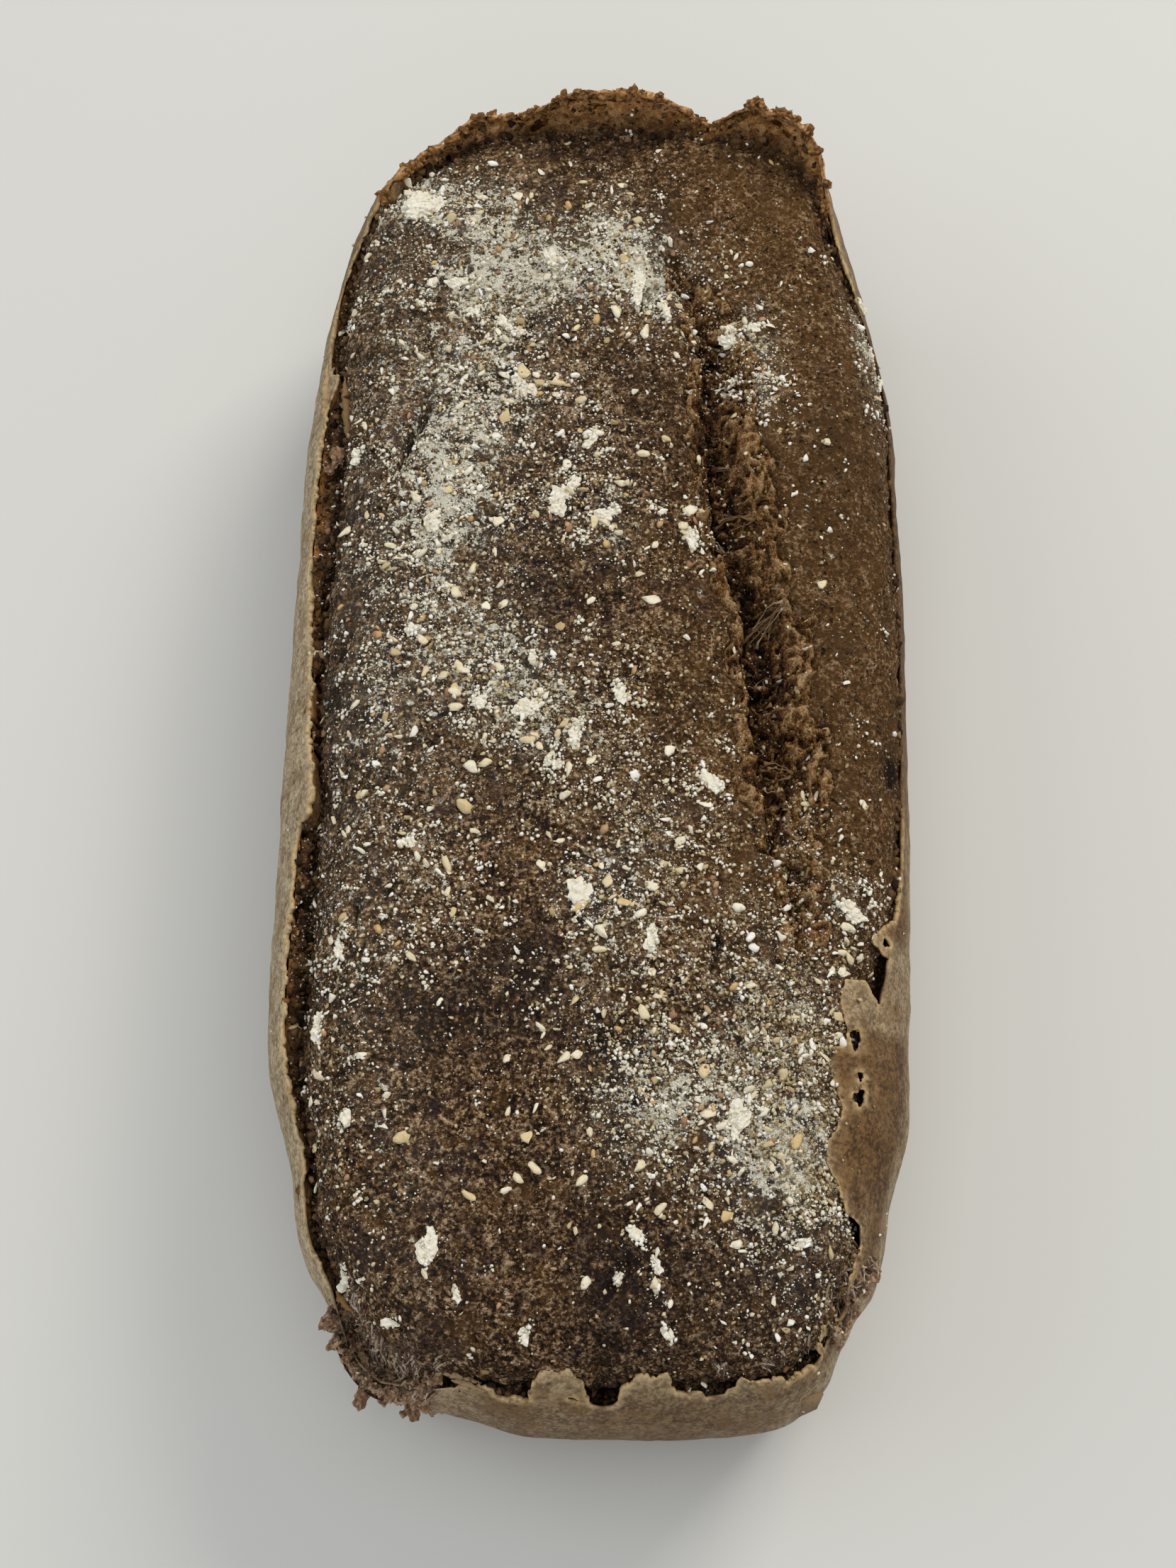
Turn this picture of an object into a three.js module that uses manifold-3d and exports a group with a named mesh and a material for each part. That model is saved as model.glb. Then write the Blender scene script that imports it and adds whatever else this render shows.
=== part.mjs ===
// A dark tin loaf of gluten-free fig bread, one solid, in millimetres.
// X runs across the loaf, Y along it from the front end to the far end, Z up. The origin is on the
// resting face, under the middle. A thin baked skin covers the sides and ends in a torn rim that stands
// off the crumb, the top has burst along one side, and coarse grits and bran flakes are baked onto it.
import * as THREE from "three";
import { ParametricGeometry } from "three/addons/geometries/ParametricGeometry.js";
import { mergeVertices } from "three/addons/utils/BufferGeometryUtils.js";
import Module from "manifold-3d";

// Driving sizes.
const WIDTH = 112;
const LENGTH = 242;
const CROWN_HEIGHT = 62.5;
const CORNER_POWER = 4.6; // of the superellipse in plan: higher is squarer
const BULGE_HEIGHT = 32; // where the sides are widest
const DOME_HEIGHT = 59.5; // that the skin would reach if nothing had torn
const DOME_WIDTH = 17; // how far in from the bulge it would get there
const FAR_DOME_WIDTH = 8; // steeper at the far end
const SIDE_TAPER = 3; // the sides lean in this much towards the base
const BASE_ROUNDING = 7;
const SKIN_THICKNESS = 1.3;
const TORN_EDGE_INSET = 3.6; // of the skin's torn edge from the bulge, where no tab or bite changes it
const SPOKES = 152; // around the loaf
const SPINE = (LENGTH - WIDTH) / 2; // half the length of the line under the crown, where the spokes start

const wasm = await Module();
wasm.setup();

// The plan at the bulge, from the middle of the front end, over the right side, the far end and the left.
class PlanOutline extends THREE.Curve {
  getPoint(t, target = new THREE.Vector3()) {
    const angle = 2 * Math.PI * t - Math.PI / 2;
    const reach = (v) => Math.sign(v) * Math.abs(v) ** (2 / CORNER_POWER);
    return target.set(
      (WIDTH / 2) * reach(Math.cos(angle)),
      (LENGTH / 2) * reach(Math.sin(angle)),
      0,
    );
  }
}

const outline = new PlanOutline();
outline.arcLengthDivisions = 2400;
const TAPE_LENGTH = outline.getLength(); // a tape laid round the bulge

// Places on the tape, in millimetres from the middle of the front end. half is the flat part's half
// length, soft the slope at each of its ends.
const TABS = [
  { at: -6, half: 4, soft: 1.5, size: 4.8 }, // front, left of the notch
  { at: 12, half: 5, soft: 1.6, size: 4.4 }, // front, right of the notch
  { at: 31, half: 5, soft: 3, size: 1.8 },
  { at: 61, half: 4, soft: 5, size: 2.2 },
  { at: 84, half: 15, soft: 4, size: 10.6 }, // the big flap at the lower right
  { at: 105, half: 6, soft: 2.5, size: 10 },
  { at: 119, half: 1.5, soft: 2, size: 5 },
  { at: 190, half: 50, soft: 14, size: -1.2 }, // low along the upper right
  { at: 416, half: 3, soft: 3, size: 2.6 },
  { at: 487, half: 12, soft: 8, size: 3.2 }, // left, beside the dark gap
  { at: 570, half: 14, soft: 10, size: 3.6 },
];
const LIFTS = [
  { at: 312, half: 34, soft: 14, size: 3 }, // the far end
  { at: 318, half: 6, soft: 14, size: 9 }, // its middle
  { at: 284, half: 6, soft: 9, size: 7 }, // and its right lump
  { at: 300, half: 0.5, soft: 4, size: -1.5 }, // a dip between them
  { at: 360, half: 4, soft: 8, size: -2 },
];
const DENTS = [
  { at: 254, half: 5, soft: 30, size: 3.2 }, // the far right corner is slimmer
  { at: 360, half: 4, soft: 16, size: 2 },
  { at: 572, half: 10, soft: 24, size: 3.5 }, // the near left side draws in
  { at: 62, half: 12, soft: 18, size: 2.6 }, // the near right corner is cut off
  { at: 52, half: 2, soft: 8, size: 1.4 },
  { at: 602, half: 12, soft: 18, size: 3.4 }, // and so is the near left one
];
// How much farther in than usual the crumb starts.
const CRUMB_STEPS = [
  { at: 442, half: 12, soft: 10, size: 1.4 },
  { at: 520, half: 16, soft: 10, size: 1 }, // the widest gap, left
  { at: 577, half: 8, soft: 10, size: 2 },
  { at: 400, half: 4, soft: 14, size: -2 },
  { at: 358, half: 8, soft: 14, size: 1.6 },
  { at: 277, half: 14, soft: 12, size: 1.2 },
  { at: 85, half: 20, soft: 8, size: 2 }, // under the flap
];
const GAP_FLOOR = 43; // height of the bottom of the gap between skin and crumb
const CLOSED_GAP = { at: 190, half: 48, soft: 12, size: 1 }; // crumb and skin still joined, upper right
const FAR_END = { at: 320, half: 44, soft: 18, size: 1 };

// The burst: a lip that overhangs a crevice, and a rough bank that climbs away from it to the right.
const BURST_LIP = new THREE.SplineCurve(
  [
    [9, 90],
    [16, 73],
    [17, 52],
    [20.5, 27],
    [25.5, 7],
    [26.5, -14],
    [31.5, -33],
    [35, -48],
  ].map(([x, y]) => new THREE.Vector2(x, y)),
);
const BURST_DEPTH = 8;
const BURST_BANK = 11;
const CREVICE_WIDTH = 2.8;

const GRIT_SEED = 20;
const GRIT_COUNT = 104;
const GRIT_SINK = 0.25; // share of its thickness in the crumb

const smooth = (v) => THREE.MathUtils.smoothstep(v, 0, 1);
const lerp = THREE.MathUtils.lerp;

// 1 on a feature's flat part, 0 beyond its slopes.
function nearness(tape, feature) {
  const gap = THREE.MathUtils.euclideanModulo(tape - feature.at + TAPE_LENGTH / 2, TAPE_LENGTH);
  const away = Math.abs(gap - TAPE_LENGTH / 2) - feature.half;
  return 1 - smooth(away / feature.soft);
}

const total = (tape, features) =>
  features.reduce((sum, f) => sum + f.size * nearness(tape, f), 0);

// Small unevenness along the tape, between -1 and 1.
function ragged(tape) {
  const turns = (2 * Math.PI * tape) / TAPE_LENGTH;
  return 0.5 * Math.sin(47 * turns + 1) + 0.3 * Math.sin(71 * turns) + 0.2 * Math.sin(29 * turns + 2);
}

// What the skin and the crumb do at one place on the tape.
function rimAt(tape) {
  const far = nearness(tape, FAR_END);
  const closed = nearness(tape, CLOSED_GAP);
  const domeWidth = lerp(DOME_WIDTH, FAR_DOME_WIDTH, far);
  const domeHeight = DOME_HEIGHT + total(tape, LIFTS) + 0.5 * ragged(tape);
  const torn = Math.min(
    TORN_EDGE_INSET + total(tape, TABS) + 0.5 * ragged(tape),
    0.95 * domeWidth,
  );
  const domeAt = (inset) =>
    BULGE_HEIGHT +
    (domeHeight - BULGE_HEIGHT) * Math.sqrt(1 - (1 - Math.min(inset / domeWidth, 1)) ** 2);
  const crumbEdge = lerp(7.6, torn + 1.3, closed) + total(tape, CRUMB_STEPS);
  const gapFloor = lerp(GAP_FLOOR, domeAt(torn) - 1.5, closed);
  return { torn, domeWidth, domeHeight, domeAt, crumbEdge, gapFloor, closed };
}

// How far the plan is pulled in from the true superellipse. It is nothing at its four outermost points.
function dentAt(tape) {
  const quarter = Math.sin((4 * Math.PI * tape) / TAPE_LENGTH) ** 2;
  return total(tape, DENTS) + quarter * (0.5 + 0.5 * Math.sin((14 * Math.PI * tape) / TAPE_LENGTH));
}

// A spoke: from the line under the crown to the bulge.
function spokeAt(tape) {
  const turn = THREE.MathUtils.euclideanModulo(tape / TAPE_LENGTH, 1);
  const edge = outline.getPointAt(Math.min(turn, 1 - turn)); // of the right half, and its mirror image
  if (turn > 0.5) edge.x = -edge.x;
  const root = new THREE.Vector3(0, THREE.MathUtils.clamp(edge.y, -SPINE, SPINE), 0);
  const reach = edge.distanceTo(root);
  return { root, edge, reach, dent: dentAt(tape) };
}

// Where the burst's lip crosses a line across the loaf, how open the burst is there, and how sharp its
// lip is: both 0 to 1.
const LIP_POINTS = BURST_LIP.getPoints(200);
function burstAt(y) {
  const far = LIP_POINTS[0].y;
  const near = LIP_POINTS[LIP_POINTS.length - 1].y;
  const closest = LIP_POINTS.reduce((a, b) => (Math.abs(b.y - y) < Math.abs(a.y - y) ? b : a));
  const share = THREE.MathUtils.clamp((y - near) / (far - near), 0, 1);
  const open = Math.sqrt(Math.sin(Math.PI * share));
  const sharp = smooth((SPINE - Math.abs(y)) / 14) * smooth(open * 3);
  return { lip: closest.x, open, sharp };
}

function burstDepth(x, y) {
  const { lip, open, sharp } = burstAt(y);
  const across = x - lip;
  const wall = smooth((across + 0.4) / lerp(7, 1.4, sharp));
  const bank = 1 - smooth((across - CREVICE_WIDTH) / (BURST_BANK * open + 0.1));
  return BURST_DEPTH * open * wall * bank ** 1.4;
}

// The crumb without its shoulder: a low crown that falls towards the far end and is gently lumpy.
function crownAt(x, y) {
  const across = (2 * x) / WIDTH;
  const along = (2 * y) / LENGTH;
  const fall = y > 0 ? 6 * along ** 3 : 2 * along ** 4;
  const lumps = 0.7 * Math.sin(0.11 * x + 0.05 * y) * Math.sin(0.06 * y + 1) + 0.4 * Math.sin(0.21 * x - 0.13 * y);
  return CROWN_HEIGHT - 2.2 * across ** 2 - fall + lumps;
}

// Height of the crumb at an inset from the bulge on one spoke.
function crumbHeight(rim, inset, x, y) {
  const shoulder = 13;
  const climb = THREE.MathUtils.clamp((inset - rim.crumbEdge) / shoulder, 0, 1);
  const round = Math.sqrt(1 - (1 - climb) ** 2);
  return lerp(rim.gapFloor, crownAt(x, y), round) - burstDepth(x, y) * smooth((inset - rim.crumbEdge) / 5);
}

// The rings, from the middle of the base round the side and over the rim to the crown. Each gives its
// inset from the bulge and its height on one spoke.
function baseRing(angle) {
  const rise = BASE_ROUNDING * (1 - Math.cos(angle));
  return () => ({
    inset: BASE_ROUNDING * (1 - Math.sin(angle)) + SIDE_TAPER * (1 - rise / BULGE_HEIGHT),
    z: rise,
  });
}
const sideRing = (z) => () => ({ inset: SIDE_TAPER * (1 - z / BULGE_HEIGHT), z });
function skinRing(share) {
  return (rim) => {
    const reach = lerp(TORN_EDGE_INSET, rim.torn, share ** 2);
    const angle = Math.acos(1 - reach / rim.domeWidth) * share;
    const inset = rim.domeWidth * (1 - Math.cos(angle));
    return { inset, z: rim.domeAt(inset) };
  };
}
const underEdgeRing = (rim) => ({ inset: rim.torn + 0.3, z: rim.domeAt(rim.torn) - SKIN_THICKNESS });
function gapRing(share) {
  // along the gap's floor, from the skin's inner face to the crumb
  return (rim) => {
    const angle = Math.asin((rim.gapFloor - BULGE_HEIGHT) / (rim.domeHeight - BULGE_HEIGHT));
    const inner = rim.domeWidth * (1 - Math.cos(angle)) + SKIN_THICKNESS;
    return { inset: lerp(Math.min(inner, rim.crumbEdge - 0.6), rim.crumbEdge, share), z: rim.gapFloor };
  };
}
const crumbRing = (step) => (rim) => ({ inset: rim.crumbEdge + step, onCrumb: true });
// The crown's rings gather at the burst: its bank's top, its bank, its crevice and its lip.
const BURST_RINGS = [BURST_BANK + 1, 6, 1.6, -0.5];
function crownRing(share, burstStep) {
  return (rim, spoke) => {
    const start = rim.crumbEdge + 11;
    const plain = lerp(start, spoke.reach, share);
    if (burstStep === undefined || spoke.edge.x <= 0) return { inset: plain, onCrumb: true };
    const { lip, open, sharp } = burstAt(spoke.edge.y);
    const atBurst = spoke.edge.x - lip - burstStep * lerp(1, Math.max(open, 0.3), burstStep > 2 ? 1 : 0);
    return { inset: lerp(plain, Math.max(atBurst, start + 1 + 3 * share), sharp), onCrumb: true };
  };
}

const RINGS = [
  (rim, spoke) => ({ inset: spoke.reach, z: 0 }),
  baseRing(0),
  baseRing(0.6),
  baseRing(1.1),
  baseRing(Math.PI / 2),
  sideRing(18),
  sideRing(BULGE_HEIGHT),
  skinRing(0.35),
  skinRing(0.7),
  skinRing(1),
  underEdgeRing,
  gapRing(0),
  gapRing(1),
  crumbRing(1),
  crumbRing(3.4),
  crumbRing(7),
  crownRing(0),
  crownRing(0.14, BURST_RINGS[0]),
  crownRing(0.28, BURST_RINGS[1]),
  crownRing(0.42, BURST_RINGS[2]),
  crownRing(0.54, BURST_RINGS[3]),
  crownRing(0.7),
  crownRing(0.85),
  crownRing(1),
];

function placeOnLoaf(u, v, target) {
  const tape = (u === 1 ? 0 : u) * TAPE_LENGTH;
  const spoke = spokeAt(tape);
  const rim = rimAt(tape);
  const ring = RINGS[Math.round(v * (RINGS.length - 1))](rim, spoke);
  const inset = Math.min(ring.inset, spoke.reach);
  const share = 1 - inset / spoke.reach;
  // the dent fades out towards the line under the crown
  const scale = share * (1 - (spoke.dent / spoke.reach) * share);
  target.copy(spoke.root).lerp(spoke.edge, scale);
  target.z = ring.onCrumb ? crumbHeight(rim, inset, target.x, target.y) : ring.z;
}

// A closed geometry as a solid: vertices merged, faces that have no area dropped.
function solidOf(geometry) {
  const bare = geometry.clone();
  bare.deleteAttribute("normal");
  bare.deleteAttribute("uv");
  const merged = mergeVertices(bare, 1e-3);
  const faces = [];
  for (let i = 0; i < merged.index.count; i += 3) {
    const [a, b, c] = [0, 1, 2].map((k) => merged.index.getX(i + k));
    if (a !== b && b !== c && c !== a) faces.push(a, b, c);
  }
  return new wasm.Manifold(
    new wasm.Mesh({
      numProp: 3,
      vertProperties: new Float32Array(merged.attributes.position.array),
      triVerts: new Uint32Array(faces),
    }),
  );
}

// A seeded draw, the same each run.
function makeDraw(seed) {
  let state = seed >>> 0;
  return (low, high) => {
    state = (Math.imul(state, 1664525) + 1013904223) >>> 0;
    return low + ((high - low) * state) / 2 ** 32;
  };
}

// Where the dusting of grits fell thickest: centre, half length along X and Y, and share.
const DUSTED = [
  { x: -10, y: 84, rx: 22, ry: 16, share: 5 },
  { x: -28, y: 46, rx: 10, ry: 22, share: 3 },
  { x: 28, y: 64, rx: 8, ry: 12, share: 2 },
  { x: -12, y: 2, rx: 18, ry: 16, share: 5 },
  { x: 6, y: -34, rx: 20, ry: 18, share: 4 },
  { x: 20, y: -72, rx: 18, ry: 18, share: 6 },
  { x: 40, y: -34, rx: 7, ry: 14, share: 2 },
  { x: -38, y: -70, rx: 6, ry: 26, share: 2 },
  { x: 0, y: 0, rx: 40, ry: 100, share: 5 },
];
// The largest flakes, where they lie: place, length and the way they point.
const LARGE_FLAKES = [
  { x: -25, y: -95, size: 7, turn: 1.5 },
  { x: -41, y: -45, size: 6, turn: 1.1 },
  { x: -11, y: -4, size: 6, turn: 0.6 },
  { x: -32, y: 10, size: 4.5, turn: 2.2 },
  { x: 43, y: -38, size: 5.5, turn: 2 },
  { x: -9, y: -107, size: 5, turn: 1.4 },
  { x: 12, y: -107, size: 5, turn: 2.3 },
  { x: -39, y: -75, size: 5, turn: 1.3 },
];

function drawGrits() {
  const draw = makeDraw(GRIT_SEED);
  const shares = DUSTED.reduce((sum, d) => sum + d.share, 0);
  const grits = LARGE_FLAKES.map((f) => ({ ...f, wide: 0.5, thick: 0.3 }));
  while (grits.length < GRIT_COUNT) {
    let pick = draw(0, shares);
    const patch = DUSTED.find((d) => (pick -= d.share) < 0) ?? DUSTED[0];
    const angle = draw(0, 2 * Math.PI);
    const away = Math.sqrt(draw(0, 1));
    const x = patch.x + patch.rx * away * Math.cos(angle);
    const y = patch.y + patch.ry * away * Math.sin(angle);
    const size = draw(2.2, 3.6);
    const clear = grits.every((g) => Math.hypot(g.x - x, g.y - y) > 0.8 * (g.size + size));
    if (clear) grits.push({ x, y, size, turn: draw(0, Math.PI), wide: draw(0.5, 0.9), thick: draw(0.35, 0.6) });
  }
  return grits;
}

// One grit, bedded on the crumb at the height and slope found straight below it.
function makeGrit(grit, crumbMesh) {
  const ray = new THREE.Raycaster(
    new THREE.Vector3(grit.x, grit.y, 2 * CROWN_HEIGHT),
    new THREE.Vector3(0, 0, -1),
  );
  const [hit] = ray.intersectObject(crumbMesh);
  if (!hit || hit.face.normal.z < 0.75) return null;
  const body = new THREE.IcosahedronGeometry(0.5, 0);
  const thick = grit.size * grit.thick;
  body.rotateX(0.4).scale(grit.size, grit.size * grit.wide, thick);
  const lie = new THREE.Quaternion().setFromUnitVectors(new THREE.Vector3(0, 0, 1), hit.face.normal);
  const turn = new THREE.Quaternion().setFromAxisAngle(new THREE.Vector3(0, 0, 1), grit.turn);
  body.applyQuaternion(lie.multiply(turn));
  const centre = hit.point.addScaledVector(hit.face.normal, thick * (0.5 - GRIT_SINK));
  return body.translate(centre.x, centre.y, centre.z);
}

// What is cut away: the short slit, the pits and the holes in the flap. Each is an ellipsoid.
const CUTS = [
  { at: [-33.5, 47.5, 59], half: [1, 8, 5], turn: -0.33 }, // slit
  { at: [-45.5, -1, 56], half: [1.6, 4, 4], turn: -0.2 },
  { at: [50.5, -11, 52], half: [1.6, 4, 3.5], turn: 0 },
  { at: [42.6, -58.5, 59], half: [1.2, 2.6, 3], turn: 0.2 }, // flap
  { at: [45.2, -69, 58.5], half: [1.5, 2, 3], turn: -0.3 },
  { at: [48.6, -50.5, 57.5], half: [2, 3.4, 3], turn: 0.5 },
];

function makeCut({ at, half, turn }) {
  return new THREE.SphereGeometry(1, 10, 6)
    .rotateX(Math.PI / 2)
    .scale(...half)
    .rotateZ(turn)
    .translate(...at);
}

function makeLoaf() {
  const crust = new ParametricGeometry(placeOnLoaf, SPOKES, RINGS.length - 1);
  const bare = new THREE.Mesh(crust, new THREE.MeshBasicMaterial({ side: THREE.DoubleSide }));
  let loaf = solidOf(crust);
  for (const cut of CUTS) loaf = loaf.subtract(solidOf(makeCut(cut)));
  for (const grit of drawGrits()) {
    const body = makeGrit(grit, bare);
    if (body) loaf = loaf.add(solidOf(body));
  }
  const mesh = loaf.getMesh();
  const geometry = new THREE.BufferGeometry()
    .setAttribute("position", new THREE.BufferAttribute(mesh.vertProperties, 3))
    .setIndex(new THREE.BufferAttribute(mesh.triVerts, 1));
  geometry.computeVertexNormals();
  return geometry;
}

const breadMaterial = new THREE.MeshStandardMaterial({
  name: "dark crumb",
  color: 0x5a4230,
  roughness: 0.9,
  metalness: 0,
});

const bread = new THREE.Mesh(makeLoaf(), breadMaterial);
bread.name = "loaf";

const part = new THREE.Group();
part.add(bread);

export default part;
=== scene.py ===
"""A dark tin loaf of gluten-free fig bread: its looks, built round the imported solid.

Sizes in the classes are in millimetres and turn into metres where a mesh is made. X runs across the
loaf, Y along it towards the far end, and Z up. A place on the loaf is given as its tape, which is
how far round the bulge it lies, starting from the middle of the front end and going over the right
side, and its inset, which is how far in from the bulge it lies.
"""

import itertools
import logging
import math
from collections.abc import Callable, Sequence
from dataclasses import dataclass, field
from enum import Enum, IntEnum

import bmesh
import bpy
import numpy as np
from mathutils import Matrix, Vector
from mathutils.bvhtree import BVHTree
from mathutils.kdtree import KDTree

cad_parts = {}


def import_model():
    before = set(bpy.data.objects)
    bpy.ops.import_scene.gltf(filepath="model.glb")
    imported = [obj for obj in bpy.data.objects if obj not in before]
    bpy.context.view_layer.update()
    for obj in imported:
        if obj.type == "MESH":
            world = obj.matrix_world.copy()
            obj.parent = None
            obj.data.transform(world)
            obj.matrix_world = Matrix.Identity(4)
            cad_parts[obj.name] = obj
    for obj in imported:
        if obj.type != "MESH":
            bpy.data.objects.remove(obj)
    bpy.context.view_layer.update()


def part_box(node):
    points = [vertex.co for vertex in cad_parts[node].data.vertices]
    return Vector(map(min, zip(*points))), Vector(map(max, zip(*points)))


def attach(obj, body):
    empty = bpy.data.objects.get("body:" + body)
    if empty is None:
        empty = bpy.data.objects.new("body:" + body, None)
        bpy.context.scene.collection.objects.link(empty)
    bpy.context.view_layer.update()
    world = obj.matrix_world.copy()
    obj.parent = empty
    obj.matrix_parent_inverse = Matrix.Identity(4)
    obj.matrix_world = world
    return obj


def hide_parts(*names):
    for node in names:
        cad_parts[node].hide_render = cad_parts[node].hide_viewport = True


LOG = logging.getLogger("fig_bread")
MM = 0.001
FAR_OFF = 99.0
MERGE_GAP = 0.002
NODE = "loaf"
BODY = "root"


class Seed(IntEnum):
    """What sets each draw apart from the others."""

    SKIN_HOLES = 5
    RIM = 11
    BURST = 23
    CRUMB = 31
    SKIN = 47
    TEAR = 61
    FINE_TEAR = 67
    WEBS = 77
    SHREDS = 83
    FLOUR_LUMPS = 91
    CLOTS = 93
    RIM_CRUMBS = 95
    RAGGED = 97
    DUSTING = 300


Array = np.ndarray
Colour = tuple[float, float, float]
Tones = tuple[tuple[float, Colour], ...]
Piece = bpy.types.Object
Socket = bpy.types.NodeSocket


def ease(value: Array) -> Array:
    """Returns 0 below 0, 1 above 1 and a smooth step between them."""
    part = np.clip(value, 0.0, 1.0)
    return part * part * (3.0 - 2.0 * part)


def mix(low: Array, high: Array, share: Array) -> Array:
    """Returns low where share is 0 and high where it is 1."""
    return low + (high - low) * share


def srgb(red: int, green: int, blue: int) -> Colour:
    """Turns a colour as a screen shows it, 0 to 255, into the linear one that a shader takes."""
    linear = []
    for level in (red, green, blue):
        share = level / 255.0
        linear.append(share / 12.92 if share <= 0.04045 else ((share + 0.055) / 1.055) ** 2.4)
    return linear[0], linear[1], linear[2]


def shades(*stops: tuple[float, int, int, int]) -> Tones:
    """Returns places on a ramp with their colours, each given as its place, red, green and blue."""
    return tuple((place, srgb(red, green, blue)) for place, red, green, blue in stops)


def turned(along: Array, across: Array, turn: float) -> tuple[Array, Array]:
    """Returns x and y of steps along and across a way that is turned from x, in radians."""
    cosine, sine = math.cos(turn), math.sin(turn)
    return along * cosine - across * sine, along * sine + across * cosine


class Grain:
    """Seeded noise that fills space, so that it joins up all round the loaf."""

    SIDE = 48

    def __init__(self, seed: int) -> None:
        """Draws the tables.

        Args:
            seed: what sets the draw apart from other noises.
        """
        draw = np.random.default_rng(seed)
        self.levels = draw.uniform(-1.0, 1.0, (self.SIDE,) * 3)
        self.centres = draw.uniform(0.1, 0.9, (self.SIDE,) * 3 + (3,))

    def soft(self, points: Array, size: float | Sequence[float]) -> Array:
        """Samples smooth noise.

        Args:
            points: places in mm, one a row.
            size: how far apart its hills are, in mm, or one figure for each axis.

        Returns:
            A level for each place, about -1 to 1.
        """
        cell = points / np.asarray(size)
        low = np.floor(cell).astype(int)
        part = ease(cell - low)
        total = np.zeros(len(points))
        for corner in itertools.product((0, 1), repeat=3):
            weight = np.prod(np.where(corner, part, 1.0 - part), axis=1)
            spot = (low + corner) % self.SIDE
            total += weight * self.levels[spot[:, 0], spot[:, 1], spot[:, 2]]
        return total

    def layered(self, points: Array, size: float, layers: int = 3, fade: float = 0.55) -> Array:
        """Samples noise with finer and weaker noise on it.

        Args:
            points: places in mm.
            size: how far apart the largest hills are.
            layers: how many noises are added up.
            fade: how much weaker each is than the one before.

        Returns:
            A level for each place, about -1 to 1.
        """
        shares = [fade**k for k in range(layers)]
        parts = [s * self.soft(points + 13.7 * k, size / 2**k) for k, s in enumerate(shares)]
        return 1.6 * sum(parts) / sum(shares)

    def lumps(self, points: Array, size: float) -> tuple[Array, Array]:
        """Packs space with round lumps.

        Args:
            points: places in mm.
            size: how far apart the lumps are.

        Returns:
            How near each place is to a lump's middle, 0 in the grooves to 1, and a level from 0 to 1
            that is the same all over one lump.
        """
        cell = points / size
        low = np.floor(cell).astype(int)
        part = cell - low
        first = np.full(len(points), 9.0)
        second = first.copy()
        level = np.zeros(len(points))
        for step in itertools.product((-1, 0, 1), repeat=3):
            spot = (low + step) % self.SIDE
            index = (spot[:, 0], spot[:, 1], spot[:, 2])
            away = np.linalg.norm(self.centres[index] + step - part, axis=1)
            nearer = away < first
            second = np.where(nearer, first, np.minimum(second, away))
            level = np.where(nearer, self.levels[index], level)
            first = np.minimum(first, away)
        return np.clip((second - first) * 1.6, 0.0, 1.0), 0.5 + 0.5 * level


@dataclass(frozen=True)
class Stretch:
    """A stretch of the tape, flat for half on both sides of at, then fading out over soft."""

    at: float
    half: float
    soft: float
    size: float = 1.0

    def over(self, tape: Array, length: float) -> Array:
        """Returns 1 on the stretch, times its size, and 0 away from it."""
        gap = np.mod(tape - self.at + length / 2, length)
        away = np.abs(gap - length / 2) - self.half
        return self.size * (1.0 - ease(away / self.soft))


class TapeLine:
    """A size that changes along the tape, given at a few places and rounded off between them."""

    STEP = 0.2

    def __init__(self, places: Sequence[tuple[float, float]], length: float, blur: float) -> None:
        """Rounds the line off.

        Args:
            places: pairs of tape and size.
            length: the whole tape.
            blur: over how many mm a corner is rounded off.
        """
        tapes, sizes = np.array(sorted(places)).T
        self.length = length
        self.tapes = np.arange(0.0, length, self.STEP)
        sharp = np.interp(self.tapes, tapes, sizes, period=length)
        away = np.minimum(self.tapes, length - self.tapes)
        bell = np.exp(-0.5 * (away / max(blur, self.STEP / 4)) ** 2)
        spectrum = np.fft.rfft(sharp) * np.fft.rfft(bell / bell.sum())
        self.sizes = np.fft.irfft(spectrum, len(sharp))

    def at(self, tape: Array) -> Array:
        """Returns the size at each place on the tape."""
        return np.interp(tape, self.tapes, self.sizes, period=self.length)


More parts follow.
